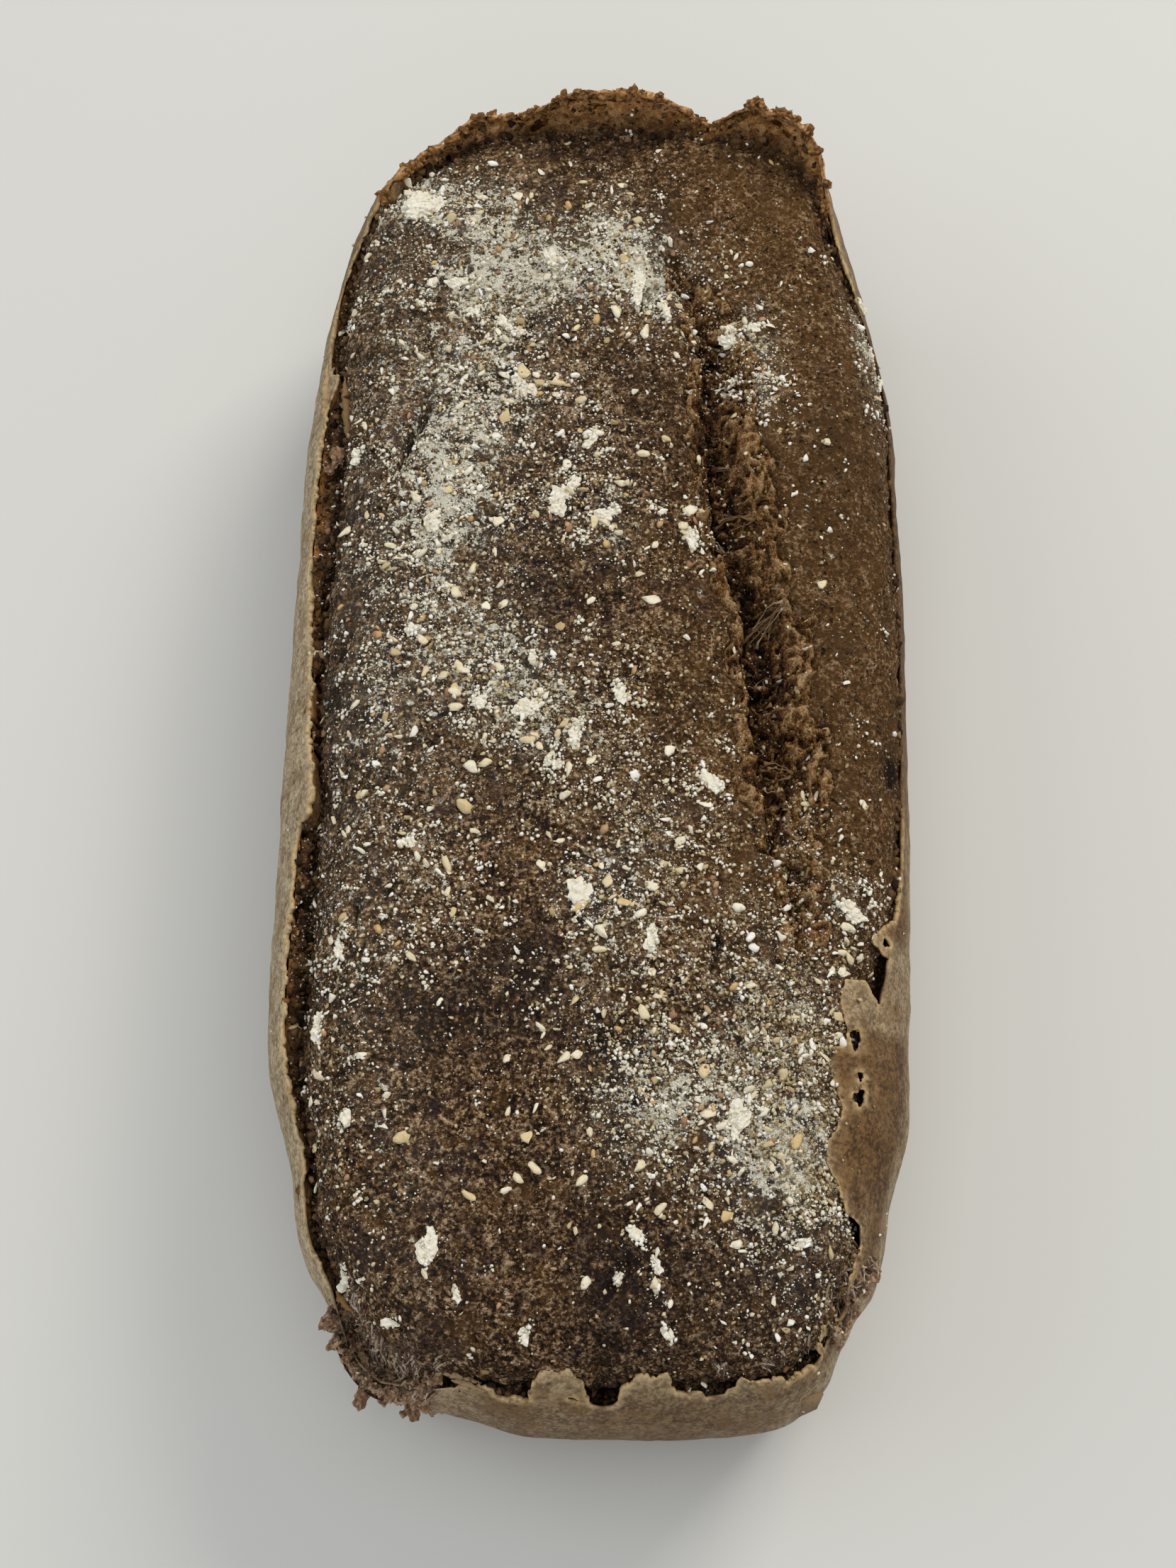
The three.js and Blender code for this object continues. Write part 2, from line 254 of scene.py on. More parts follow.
@dataclass
class LoafForm:
    """The loaf's plan and sides, the same as its solid has."""

    half_width: float
    half_length: float
    corner_power: float = 4.6
    bulge_height: float = 32.0
    side_taper: float = 3.0
    base_rounding: float = 7.0
    dents: tuple[Stretch, ...] = (
        Stretch(254, 5, 30, 3.2),
        Stretch(360, 4, 16, 2.0),
        Stretch(572, 10, 24, 3.5),
        Stretch(62, 12, 18, 2.6),
        Stretch(52, 2, 8, 1.4),
        Stretch(602, 12, 18, 3.4),
    )

    def __post_init__(self) -> None:
        """Lays the tape round the plan."""
        turn = np.linspace(-math.pi / 2, math.pi / 2, 60001)
        power = 2.0 / self.corner_power
        self._x = self.half_width * np.abs(np.cos(turn)) ** power
        self._y = self.half_length * np.sign(turn) * np.abs(np.sin(turn)) ** power
        steps = np.hypot(np.diff(self._x), np.diff(self._y))
        self._run = np.concatenate([[0.0], np.cumsum(steps)])
        self.tape_length = 2.0 * self._run[-1]
        self.spine = self.half_length - self.half_width

    def tape_at(self, y: float) -> float:
        """Returns where the tape passes y on the right side."""
        return float(np.interp(y, self._y, self._run))

    def edge(self, tape: Array) -> tuple[Array, Array]:
        """Returns x and y of the bulge at each place on the tape."""
        turn = np.mod(tape, self.tape_length)
        run = np.minimum(turn, self.tape_length - turn)
        side = np.where(turn > self.tape_length / 2, -1.0, 1.0)
        return side * np.interp(run, self._run, self._x), np.interp(run, self._run, self._y)

    def reach(self, tape: Array) -> Array:
        """Returns the inset at which each spoke meets the line under the crown."""
        x, y = self.edge(tape)
        return np.hypot(x, y - np.clip(y, -self.spine, self.spine))

    def over(self, tape: Array, *stretches: Stretch) -> Array:
        """Returns the stretches added up at each place on the tape."""
        return sum(s.over(tape, self.tape_length) for s in stretches)

    def dent(self, tape: Array) -> Array:
        """Returns how far the plan is pulled in from its even curve."""
        turns = math.pi * tape / self.tape_length
        quarter = np.sin(4 * turns) ** 2 * (0.5 + 0.5 * np.sin(14 * turns))
        return quarter + self.over(tape, *self.dents)

    def place(self, tape: Array, inset: Array) -> tuple[Array, Array]:
        """Returns x and y of places given by tape and inset."""
        x, y = self.edge(tape)
        root = np.clip(y, -self.spine, self.spine)
        reach = np.hypot(x, y - root)
        share = 1.0 - inset / reach
        scale = share * (1.0 - self.dent(tape) / reach * share)
        return x * scale, root + (y - root) * scale


@dataclass
class Spokes:
    """Where the lines that run in from the bulge stand on the tape."""

    form: LoafForm
    cap: int = 160
    side: int = 240

    def __post_init__(self) -> None:
        """Counts the spokes and finds where the sides begin and end."""
        self.count = 4 * self.cap + 2 * self.side
        near = self.form.tape_at(-self.form.spine)
        far = self.form.tape_at(self.form.spine)
        length = self.form.tape_length
        half = self.cap + self.side
        self._stops = [0, self.cap, half, half + 2 * self.cap, self.count - self.cap, self.count]
        self._tapes = [0.0, near, far, length - far, length - near, length]

    def tape(self, index: Array, merge: Array, sides_too: Array) -> Array:
        """Finds the tape of each spoke, after neighbours have been merged.

        Args:
            index: the spoke's number, from the middle of the front end.
            merge: how many neighbours become one.
            sides_too: whether they do so on the long sides as well as at the ends.

        Returns:
            Places on the tape in mm.
        """
        centre = np.rint(2.0 * index / self.count) * self.count / 2.0
        off = index - centre
        merged = centre + np.floor(off / merge + 0.5) * merge
        inside = (np.abs(off) <= self.cap) | sides_too
        return np.interp(np.where(inside, merged, index), self._stops, self._tapes)


def deselect() -> None:
    """Leaves edit mode and deselects everything."""
    if bpy.context.object and bpy.context.object.mode != "OBJECT":
        bpy.ops.object.mode_set(mode="OBJECT")
    bpy.ops.object.select_all(action="DESELECT")


def corners(piece: Piece) -> Array:
    """Returns the piece's vertices in mm, one a row."""
    spots = np.empty(len(piece.data.vertices) * 3)
    piece.data.vertices.foreach_get("co", spots)
    return spots.reshape(-1, 3) / MM


def move_corners(piece: Piece, points: Array) -> None:
    """Puts the piece's vertices at points, which are in mm."""
    piece.data.vertices.foreach_set("co", (points * MM).ravel())
    piece.data.update()


def outward(piece: Piece) -> Array:
    """Returns the way out of the surface at each vertex."""
    ways = np.empty(len(piece.data.vertices) * 3)
    piece.data.vertices.foreach_get("normal", ways)
    return ways.reshape(-1, 3)


def paint(piece: Piece, name: str, levels: Array) -> None:
    """Stores a level for each vertex that a finish can read."""
    layer = piece.data.attributes.get(name) or piece.data.attributes.new(name, "FLOAT", "POINT")
    layer.data.foreach_set("value", np.ascontiguousarray(levels, dtype=np.float32))


def painted(piece: Piece, name: str) -> Array:
    """Returns the levels that paint stored."""
    levels = np.empty(len(piece.data.vertices), dtype=np.float32)
    piece.data.attributes[name].data.foreach_get("value", levels)
    return levels.astype(float)


def flat_grid(name: str, columns: int, rows: int) -> tuple[Piece, Array]:
    """Adds a flat grid and returns it with its vertices, which lie from -1 to 1."""
    deselect()
    bpy.ops.mesh.primitive_grid_add(x_subdivisions=columns, y_subdivisions=rows, size=2.0)
    piece = bpy.context.object
    piece.name = piece.data.name = name
    return piece, corners(piece) * MM


def new_piece(
    name: str, points: Array, faces: list[list[int]], tones: Array, flat: bool = True
) -> Piece:
    """Makes a piece.

    Args:
        name: its name.
        points: its vertices in mm, one a row.
        faces: the numbers of each face's vertices.
        tones: a tone for each vertex, painted on it.
        flat: whether each face is shaded on its own.

    Returns:
        The piece.
    """
    mesh = bpy.data.meshes.new(name)
    mesh.from_pydata((points * MM).tolist(), [], faces, shade_flat=flat)
    piece = bpy.data.objects.new(name, mesh)
    bpy.context.scene.collection.objects.link(piece)
    paint(piece, "tone", tones)
    return piece


Shape = Callable[[Array, Array], tuple[Array, dict[str, Array]]]


def lay_grid(name: str, columns: int, rows: int, shape: Shape) -> tuple[Piece, Array]:
    """Wraps a flat grid round a body, with its seam and poles still open.

    Args:
        name: the piece's name.
        columns: steps round the body.
        rows: lines of vertices from its underside to its top.
        shape: takes each vertex's column and row and gives its place in mm and its painted levels.

    Returns:
        The piece, and the number of the vertex at each row and column.
    """
    piece, flat = flat_grid(name, columns, rows - 1)
    column = np.rint((flat[:, 0] + 1.0) / 2.0 * columns).astype(int)
    row = np.rint((flat[:, 1] + 1.0) / 2.0 * (rows - 1)).astype(int)
    number = np.empty((rows, columns + 1), dtype=int)
    number[row, column] = np.arange(len(flat))
    points, levels = shape(column, row)
    move_corners(piece, points)
    for key, level in levels.items():
        paint(piece, key, level)
    return piece, number


def close_up(piece: Piece) -> None:
    """Merges a wrapped grid's seam and poles, other than on a trimmed part, and turns its faces out."""
    deselect()
    piece.select_set(True)
    bpy.context.view_layer.objects.active = piece
    chosen = painted(piece, "trimmed") < 0.5
    bpy.ops.object.mode_set(mode="EDIT")
    bpy.ops.mesh.select_mode(type="VERT")
    bpy.ops.mesh.select_all(action="DESELECT")
    bpy.ops.object.mode_set(mode="OBJECT")
    piece.data.vertices.foreach_set("select", chosen)
    bpy.ops.object.mode_set(mode="EDIT")
    bpy.ops.mesh.remove_doubles(threshold=MERGE_GAP * MM)
    bpy.ops.mesh.select_all(action="SELECT")
    bpy.ops.mesh.normals_make_consistent(inside=False)
    bpy.ops.object.mode_set(mode="OBJECT")
    bpy.ops.object.shade_smooth()


def within(spots: Array, ring: Array) -> Array:
    """Returns whether each spot lies inside a closed ring, both as x and y."""
    inside = np.zeros(len(spots), dtype=bool)
    for start, end in zip(ring, np.roll(ring, -1, axis=0)):
        if start[1] == end[1]:
            continue
        spans = (start[1] > spots[:, 1]) != (end[1] > spots[:, 1])
        cross = start[0] + (spots[:, 1] - start[1]) * (end[0] - start[0]) / (end[1] - start[1])
        inside ^= spans & (spots[:, 0] < cross)
    return inside


class Rim:
    """What the torn skin and the crumb behind it do along the tape."""

    # Tape and inset of the skin's torn edge; it doubles back at tabs and bays.
    TORN = (
        (0.5, 6.2), (1.0, 4.6), (1.5, 3.0), (2.0, 1.8), (3.0, 1.2), (4.0, 2.2), (5.0, 3.8),
        (6.0, 5.4), (7.5, 7.0), (9.5, 8.2), (12, 7.4), (15, 8.0), (15.4, 6.0), (16.5, 5.2),
        (20.5, 5.6), (22.5, 4.8), (25.5, 5.4), (27, 5.8), (27.5, 6.4), (30, 7.0), (31, 6.4),
        (34.5, 6.2), (35.5, 5.0), (37.5, 4.6), (41, 4.0), (41.5, 2.8), (43.4, 3.0), (43.2, 5.4),
        (45, 6.2), (47.5, 5.6), (48.5, 3.8), (50.5, 2.6), (53, 2.2), (54.5, 2.6), (55.5, 4.6),
        (57.5, 5.8), (59, 6.4), (62, 6.0), (67, 6.6), (67, 8.4), (66.5, 10), (70, 12), (73.5, 14),
        (76, 15.2), (80, 14.4), (83, 14), (87, 13.8), (90, 14.8), (93.5, 16), (97, 16.6),
        (99.2, 17.2), (99, 15), (99.4, 13.6), (102, 13.2), (104.5, 14), (107.5, 15.4), (109, 14.2),
        (111, 14.4), (111, 12.4), (110.6, 10.6), (108.6, 9.2), (106.6, 7.4), (109, 5.8),
        (113.5, 5.2), (116.4, 5.0), (116, 7.0), (117, 8.8), (119, 9.0), (120.5, 7.0), (123, 4.0),
        (127, 3.8), (131, 2.9), (140, 2.5), (149, 2.2), (156, 1.8), (176, 1.5), (236, 1.8),
        (246, 4.5), (256, 6.2), (266, 6.0), (274, 4.4), (285, 3.8), (298, 4.2), (304, 3.6),
        (320, 3.4), (340, 4.2), (352, 5.4), (362, 6.4), (374, 6.2), (384, 4.0), (393, 2.6),
        (405, 2.6), (411, 3.4), (412, 5.6), (413.5, 4.4), (415, 6.2), (418, 6.0), (420, 4.9),
        (427, 4.7), (440, 4.0), (455, 4.0), (474.5, 5.9), (488, 6.6), (498, 7.6), (500.8, 7.2),
        (501.6, 5.0), (515, 4.9), (529, 4.3), (542, 4.1), (552, 3.8), (563, 3.4), (576, 2.8),
        (583, 2.0), (587, 1.4), (589.5, 0.8), (593, 0.4), (598, 0.3), (604, 0.5), (606.5, 1.0),
        (607.5, 1.8), (609, 2.4), (609.5, 1.8), (612.5, 2.2), (614, 2.2), (617, 3.2), (618.5, 4.4),
        (620.5, 4.8), (623, 4.6), (625, 3.8), (626, 3.6), (628, 4.0), (630, 3.2), (631, 2.8),
        (634, 2.8), (634.8, 3.6), (634.6, 4.3), (633.5, 4.3), (632, 4.1), (630, 4.8), (630.6, 6.4),
        (632, 7.8), (634, 7.6), (636, 8.6), (638, 8.2),
    )
    # Tape, inset, half length along the tape and half width across it of the holes in the skin.
    HOLES = (
        (100.5, 12.0, 1.6, 0.8), (94.5, 11.0, 0.8, 0.5), (90.0, 11.0, 1.5, 1.1),
        (93.0, 7.4, 0.6, 0.3), (118.2, 6.4, 0.8, 0.7), (45.6, 4.4, 1.1, 0.7),
        (637.4, 4.2, 0.9, 0.55), (639.0, 3.0, 0.35, 0.6),
    )
    # Tape and inset of the place where the crumb comes up.
    CRUMB_EDGE = (
        (2, 5.6), (8, 7.6), (16, 7.4), (26, 7.0), (37, 6.2), (48, 5.4), (57, 6.0), (70, 8.4),
        (112, 8.6), (122, 6.2), (132, 4.0), (145, 3.4), (160, 2.4), (236, 3.0), (248, 6.2),
        (257, 8.6), (267.5, 8.8), (278, 8.2), (288, 8.2), (298, 7.8), (306, 7.0), (316, 6.6),
        (333, 7.3), (347, 8.0), (358, 8.6), (367, 8.2), (378, 6.8), (390, 5.2), (404, 5.6),
        (417, 7.5), (434, 9.0), (450, 8.8), (459, 8.2), (473, 7.6), (494, 8.2), (503, 8.4),
        (522, 8.8), (540, 7.6), (550, 6.4), (565, 5.4), (578, 5.2), (588, 4.4), (600, 3.8),
        (612, 4.2), (622, 5.8), (630, 7.2), (636, 7.8),
    )
    # Tape and height of the bottom of the gap between the skin and the crumb.
    FLOOR = (
        (2, 49.5), (45, 49.5), (60, 49), (70, 44), (108, 44.5), (122, 50), (140, 55), (240, 55),
        (252, 54), (262, 56), (300, 57), (345, 56), (362, 52.5), (384, 52), (404, 51.5), (414, 50),
        (430, 49), (480, 48), (505, 46), (575, 45), (590, 47), (600, 49), (612, 48.5), (632, 49),
    )
    LIFTS = (
        Stretch(312, 34, 14, 3.0),
        Stretch(318, 6, 14, 9.0),
        Stretch(284, 6, 9, 7.0),
        Stretch(300, 0.5, 4, -1.5),
        Stretch(360, 4, 8, -2.0),
    )
    DOME_HEIGHT = 59.5
    DOME_WIDTH = 17.0
    FAR_DOME_WIDTH = 8.0
    FAR_END = Stretch(320, 44, 18)
    CLOSED = Stretch(192, 44, 14)
    BARE_CORNER = Stretch(599, 6, 4)
    BANKS = (Stretch(330, 68, 12), Stretch(500, 88, 6))
    FRONT_JAGS = Stretch(0, 36, 10)
    # How far past the torn line the close rings go, how near on the tape it counts, and half the tape.
    OVERSHOOT = 2.0
    NEAR = 3.0
    HALF_WAY = 320

    def __init__(self, form: LoafForm) -> None:
        """Lays the lines along the tape.

        Args:
            form: the loaf's plan and sides.
        """
        self.form = form
        self.grain = Grain(Seed.RIM)
        self.torn_line = TapeLine(self.TORN, form.tape_length, 0.8)
        self.crumb_line = TapeLine(self.CRUMB_EDGE, form.tape_length, 3.0)
        self.floor_line = TapeLine(self.FLOOR, form.tape_length, 3.0)
        tapes = np.arange(0.0, form.tape_length, 1.0)
        dense = self._dense_path()
        lowest = [(tape, inset - across) for tape, inset, _, across in self.HOLES]
        dense = np.concatenate([dense, lowest])
        gap = dense[None, :, 0] - tapes[:, None] + self.HALF_WAY
        gap = np.abs(np.mod(gap, form.tape_length) - self.HALF_WAY)
        near, insets = gap < self.NEAR, dense[None, :, 1]
        widest = np.where(near, insets, 0.0).max(axis=1) + self.OVERSHOOT
        width = widest - np.where(near, insets, FAR_OFF).min(axis=1) + self.OVERSHOOT
        self.skin_line = TapeLine(list(zip(tapes, widest)), form.tape_length, 1.5)
        self.width_line = TapeLine(list(zip(tapes, width)), form.tape_length, 1.5)

    @staticmethod
    def _between(first: Sequence[float], last: Sequence[float]) -> Array:
        """Returns points from first towards last, about 0.25 mm apart."""
        steps = max(1, int(math.dist(first, last) / 0.25))
        shares = np.arange(steps)[:, None] / steps
        return np.array(first) + (np.array(last) - np.array(first)) * shares

    def _dense_path(self) -> Array:
        """Returns tape and inset of close points all along the torn edge."""
        tape, inset = self.TORN[0]
        closed = [*self.TORN, (tape + self.form.tape_length, inset)]
        return np.concatenate([self._between(*pair) for pair in itertools.pairwise(closed)])

    def outline(self) -> Array:
        """Returns the torn edge seen from above, with its fine jags, as x and y in mm."""
        dense = self._dense_path()
        spots = np.stack(self.form.place(dense[:, 0], dense[:, 1]), 1)
        ahead = np.roll(spots, -3, axis=0) - np.roll(spots, 3, axis=0)
        ahead /= np.linalg.norm(ahead, axis=1)[:, None] + 1e-9
        flat = np.column_stack([spots, np.zeros(len(spots))])
        jags = 0.45 * self.grain.soft(flat, 2.6) + 0.32 * self.grain.soft(flat + 9.0, 1.1)
        jags += 0.2 * self.grain.soft(flat + 21.0, 0.5)
        jags *= mix(1.0, 0.5, self.closed(dense[:, 0])) * mix(1.0, 2.2, self.far(dense[:, 0]))
        jags *= mix(1.0, 1.5, self.form.over(dense[:, 0], self.FRONT_JAGS))
        return spots + np.column_stack([-ahead[:, 1], ahead[:, 0]]) * jags[:, None]

    def _ring(self, tape: Array, size: float, seed: float) -> Array:
        """Returns noise along the tape that joins up at its ends."""
        x, y = self.form.edge(tape)
        return self.grain.soft(np.stack([x, y, np.full_like(x, seed)], 1), size)

    def far(self, tape: Array) -> Array:
        """Returns 1 at the far end and 0 away from it."""
        return self.form.over(tape, self.FAR_END)

    def closed(self, tape: Array) -> Array:
        """Returns 1 where the skin hasn't come off the crumb."""
        return self.form.over(tape, self.CLOSED)

    def dome_width(self, tape: Array) -> Array:
        """Returns how far in from the bulge the skin levels out."""
        return mix(self.DOME_WIDTH, self.FAR_DOME_WIDTH, self.far(tape))

    def dome_height(self, tape: Array) -> Array:
        """Returns how high the skin would reach there."""
        wave = 0.7 * self._ring(tape, 9.0, 21.0) * (1.0 - 0.7 * self.closed(tape))
        return self.DOME_HEIGHT + self.form.over(tape, *self.LIFTS) + wave

    def dome_angle(self, tape: Array, inset: Array) -> Array:
        """Returns the angle up the dome's curve at an inset."""
        return np.arccos(np.clip(1.0 - inset / self.dome_width(tape), 0.0, 1.0))

    def dome_z(self, tape: Array, inset: Array) -> Array:
        """Returns the height of the dome at an inset."""
        low = self.form.bulge_height
        return low + (self.dome_height(tape) - low) * np.sin(self.dome_angle(tape, inset))

    def gap_floor(self, tape: Array) -> Array:
        """Returns the height of the bottom of the gap."""
        below = mix(1.2, 0.15, self.closed(tape))
        torn = self.dome_z(tape, self.torn_line.at(tape))
        return np.minimum(self.floor_line.at(tape), torn - below)

    def gap_start(self, tape: Array) -> Array:
        """Returns the inset at which the crumb meets the inside of the skin."""
        low = self.form.bulge_height
        share = (self.gap_floor(tape) - low) / (self.dome_height(tape) - low)
        inset = self.dome_width(tape) * (1.0 - np.sqrt(1.0 - np.clip(share, 0.0, 0.99) ** 2))
        bare = self.form.over(tape, self.BARE_CORNER)
        return mix(inset + 0.5 - 2.2 * bare, self.torn_line.at(tape) + 0.5, self.banked(tape))

    def bank(self, tape: Array) -> Array:
        """Returns how far the crumb rises above the gap's bottom against the inside of the skin."""
        top = self.dome_z(tape, self.torn_line.at(tape)) - 0.6
        return self.banked(tape) * np.maximum(top - self.gap_floor(tape), 0.0)

    def banked(self, tape: Array) -> Array:
        """Returns how much of the crumb clings to the inside of the skin, 0 to 1."""
        return self.form.over(tape, *self.BANKS)


@dataclass
class Burst:
    """The tear along the top: a lip over a crevice, and a rough bank that climbs away to the right."""

    lip: tuple[tuple[float, float], ...] = (
        (-48, 35), (-43, 33.4), (-33, 31), (-24, 28.2), (-13, 26.2), (-2, 26), (8, 25.6),
        (18, 23.6), (27, 20.6), (40, 18.8), (52, 16.8), (63, 17.6), (72, 16.6), (80, 13), (88, 9.4),
    )
    depth: float = 6.6
    bank: float = 10.5
    crevice: float = 1.6
    tuck: float = 1.0

    def __post_init__(self) -> None:
        """Smooths the lip's line."""
        self.grain = Grain(Seed.BURST)
        ys, xs = np.array(self.lip).T
        self.line_y = np.linspace(ys[0], ys[-1], 400)
        sharp = np.interp(self.line_y, ys, xs)
        bell = np.exp(-0.5 * np.linspace(-2.5, 2.5, 21) ** 2)
        padded = np.pad(sharp, 10, mode="edge")
        self.line_x = np.convolve(padded, bell / bell.sum(), mode="valid")

    def across(self, x: Array, y: Array) -> Array:
        """Returns how far right of the lip each place is."""
        flat = np.stack([np.zeros_like(y), y, np.zeros_like(y)], 1)
        jag = 0.9 * self.grain.soft(flat, 4.0) + 0.45 * self.grain.soft(flat, 1.5)
        return x - np.interp(y, self.line_y, self.line_x) - jag

    def opened(self, y: Array) -> Array:
        """Returns how open the burst is, 0 to 1."""
        share = np.clip((y - self.line_y[0]) / (self.line_y[-1] - self.line_y[0]), 0.0, 1.0)
        return np.sqrt(np.sin(np.pi * share))

    def shape(self, x: Array, y: Array) -> dict[str, Array]:
        """Works out what the burst does to the crown.

        Args:
            x: places across the loaf.
            y: places along it.

        Returns:
            How far the surface drops and is tucked in under the lip, in mm, and how much it is torn
            crumb and covered by the fine torn surface, 0 to 1.
        """
        across = self.across(x, y)
        opened = self.opened(y)
        flat = np.stack([x, y, np.zeros_like(x)], 1)
        uneven = 1.0 + 0.32 * self.grain.soft(flat, 7.0) + 0.2 * self.grain.soft(flat + 31.0, 3.0)
        width = self.bank * opened * (1.0 + 0.3 * self.grain.soft(flat + 57.0, 9.0)) + 0.1
        wall = ease((across + 1.2 + 0.9 * self.grain.soft(flat + 11.0, 3.2)) / 2.0)
        climb = 1.0 - ease((across - self.crevice * opened) / width)
        drop = self.depth * opened * uneven * wall * climb**2.3
        lip = 0.25 * opened * np.exp(-0.5 * ((across + 2.4) / 1.6) ** 2)
        tuck = self.tuck * opened * ease(across / 0.7) * (1.0 - ease((across - 1.0) / 4.0))
        torn = ease((across + 0.3) / 0.8) * (1.0 - ease((across - width * 0.75) / 4.0))
        torn = torn * ease(opened * 4)
        stray = 1.6 * self.grain.soft(flat + 80.0, 4.5) + 0.8 * self.grain.soft(flat + 90.0, 1.8)
        beyond = ease((across - width - 0.2 + 1.5 * stray) / 2.2)
        cover = ease((across + 3.4 + stray) / 1.6) * (1.0 - beyond) * ease(opened * 3.0 - 0.5)
        return {"drop": drop - lip, "tuck": tuck, "torn": torn, "cover": cover}


@dataclass(frozen=True)
class Patch:
    """A soft oval patch on the crumb's top."""

    x: float
    y: float
    long: float
    short: float
    turn: float
    level: float

    def over(self, x: Array, y: Array) -> Array:
        """Returns the patch's level at each place, fading from its middle."""
        turn = math.radians(self.turn)
        along = (x - self.x) * math.cos(turn) + (y - self.y) * math.sin(turn)
        across = (y - self.y) * math.cos(turn) - (x - self.x) * math.sin(turn)
        return self.level * np.exp(-0.5 * ((along / self.long) ** 2 + (across / self.short) ** 2))


def patched(patches: Sequence[Patch], x: Array, y: Array) -> Array:
    """Returns the patches added up."""
    return sum(p.over(x, y) for p in patches)


def patch_all(*rows: tuple[float, ...]) -> tuple[Patch, ...]:
    """Returns a patch for each row: x, y, half length, half width, turn in degrees and level."""
    return tuple(Patch(*row) for row in rows)


# Where flour lies as a haze, where coarse grits fell thickest, where tan meal lies between them,
# and where the crumb is darker.
FLOURED = patch_all(
    (-27, 67, 23, 15, -83, 0.37), (-35, 3, 30, 14, 87, 0.28), (-44, 99, 20, 6, 1, 0.35),
    (-11, 83, 7, 5, 8, 0.8), (-27, 40, 13, 4, 77, 0.51), (11, -71, 7, 6, 53, 0.51),
    (-13, 0, 10, 6, -54, 0.37), (-33, -68, 30, 5, -78, 0.14), (4, -36, 13, 5, 75, 0.28),
    (3, 88, 6, 5, -60, 0.65), (31, -78, 8, 6, 45, 0.32), (-21, 89, 7, 4, 81, 0.46),
    (10, 80, 5, 4, 42, 0.66), (27, 65, 7, 3, -86, 0.57), (2, 31, 6, 4, 78, 0.21),
    (40, -36, 4, 3, -58, 0.18), (48.5, 76, 13, 2.5, -82, 0.9), (32, -70, 20, 7, -82, 0.3),
)
GRITTED = patch_all(
    (-14, -1, 16, 8, -50, 0.47), (20, -75, 17, 9, -18, 0.3), (-28, 97, 22, 6, -20, 0.3),
    (8, -42, 22, 6, 89, 0.24), (-24, 61, 19, 7, 28, 0.24), (-29, -30, 18, 6, -47, 0.22),
    (-28, 35, 9, 7, 73, 0.34), (-30, 79, 22, 5, -3, 0.19), (-2, 33, 11, 5, -19, 0.3),
    (-44, -66, 20, 5, -80, 0.24), (5, 85, 13, 5, -70, 0.2), (42, -37, 6, 4, 55, 0.35),
    (-34, 3, 20, 3, 74, 0.16), (-1, 49, 8, 6, 16, 0.17), (27, 59, 5, 4, -29, 0.34),
    (-2, -38, 7, 3, -86, 0.31), (25, 70, 5, 4, 45, 0.36), (19, -20, 11, 4, 87, 0.15),
    (-16, 56, 8, 3, 24, 0.25), (34, -26, 7, 3, 69, 0.25), (-21, 75, 7, 3, -51, 0.21),
    (-37, -45, 8, 5, -11, 0.26), (11, -101, 5, 2, -65, 0.28), (4, 1, 5, 3, 73, 0.25),
    (17, 30, 5, 2, 87, 0.3), (27, -96, 6, 2, -38, 0.17), (22, 87, 3, 3, 70, 0.27),
    (35, -57, 4, 3, -90, 0.19), (22, -42, 3, 2, -53, 0.21), (0, 0, 60, 90, 0, 0.03),
    (30, -72, 22, 9, -80, 0.3), (27, -54, 12, 8, 30, 0.15),
)
MEALED = patch_all(
    (36, -72, 22, 6, -82, 0.8), (24, -62, 14, 9, 20, 0.3), (-14, 0, 16, 8, -50, 0.25),
    (-24, 70, 20, 12, 0, 0.22), (6, -30, 30, 7, 89, 0.2), (27, 64, 9, 5, -60, 0.25),
    (48, 78, 10, 3, -80, 0.3),
)
DARKENED = patch_all(
    (-17, -56, 10, 6, 10, 1.0), (2, -64, 4, 5, 0, 1.0), (5, -100, 5, 7, 20, 1.0),
    (42, 49, 6, 8, 0, 0.9), (-10, 16, 6, 4, 30, 0.7), (-12, -46, 4, 3, 0, 0.7),
    (-28, -55, 2, 5, 15, 0.8), (38, 30, 5, 14, 0, 0.4), (-20, -98, 10, 6, 0, 0.3),
    (40, -5, 6, 12, 0, 0.35), (-40, -4, 3, 6, 0, 0.8), (-43, 22, 4, 9, 0, 0.4),
    (26, -98, 15, 10, 20, 0.75), (-4, -84, 14, 6, 10, 0.3), (10, 62, 6, 14, 10, 0.35),
)


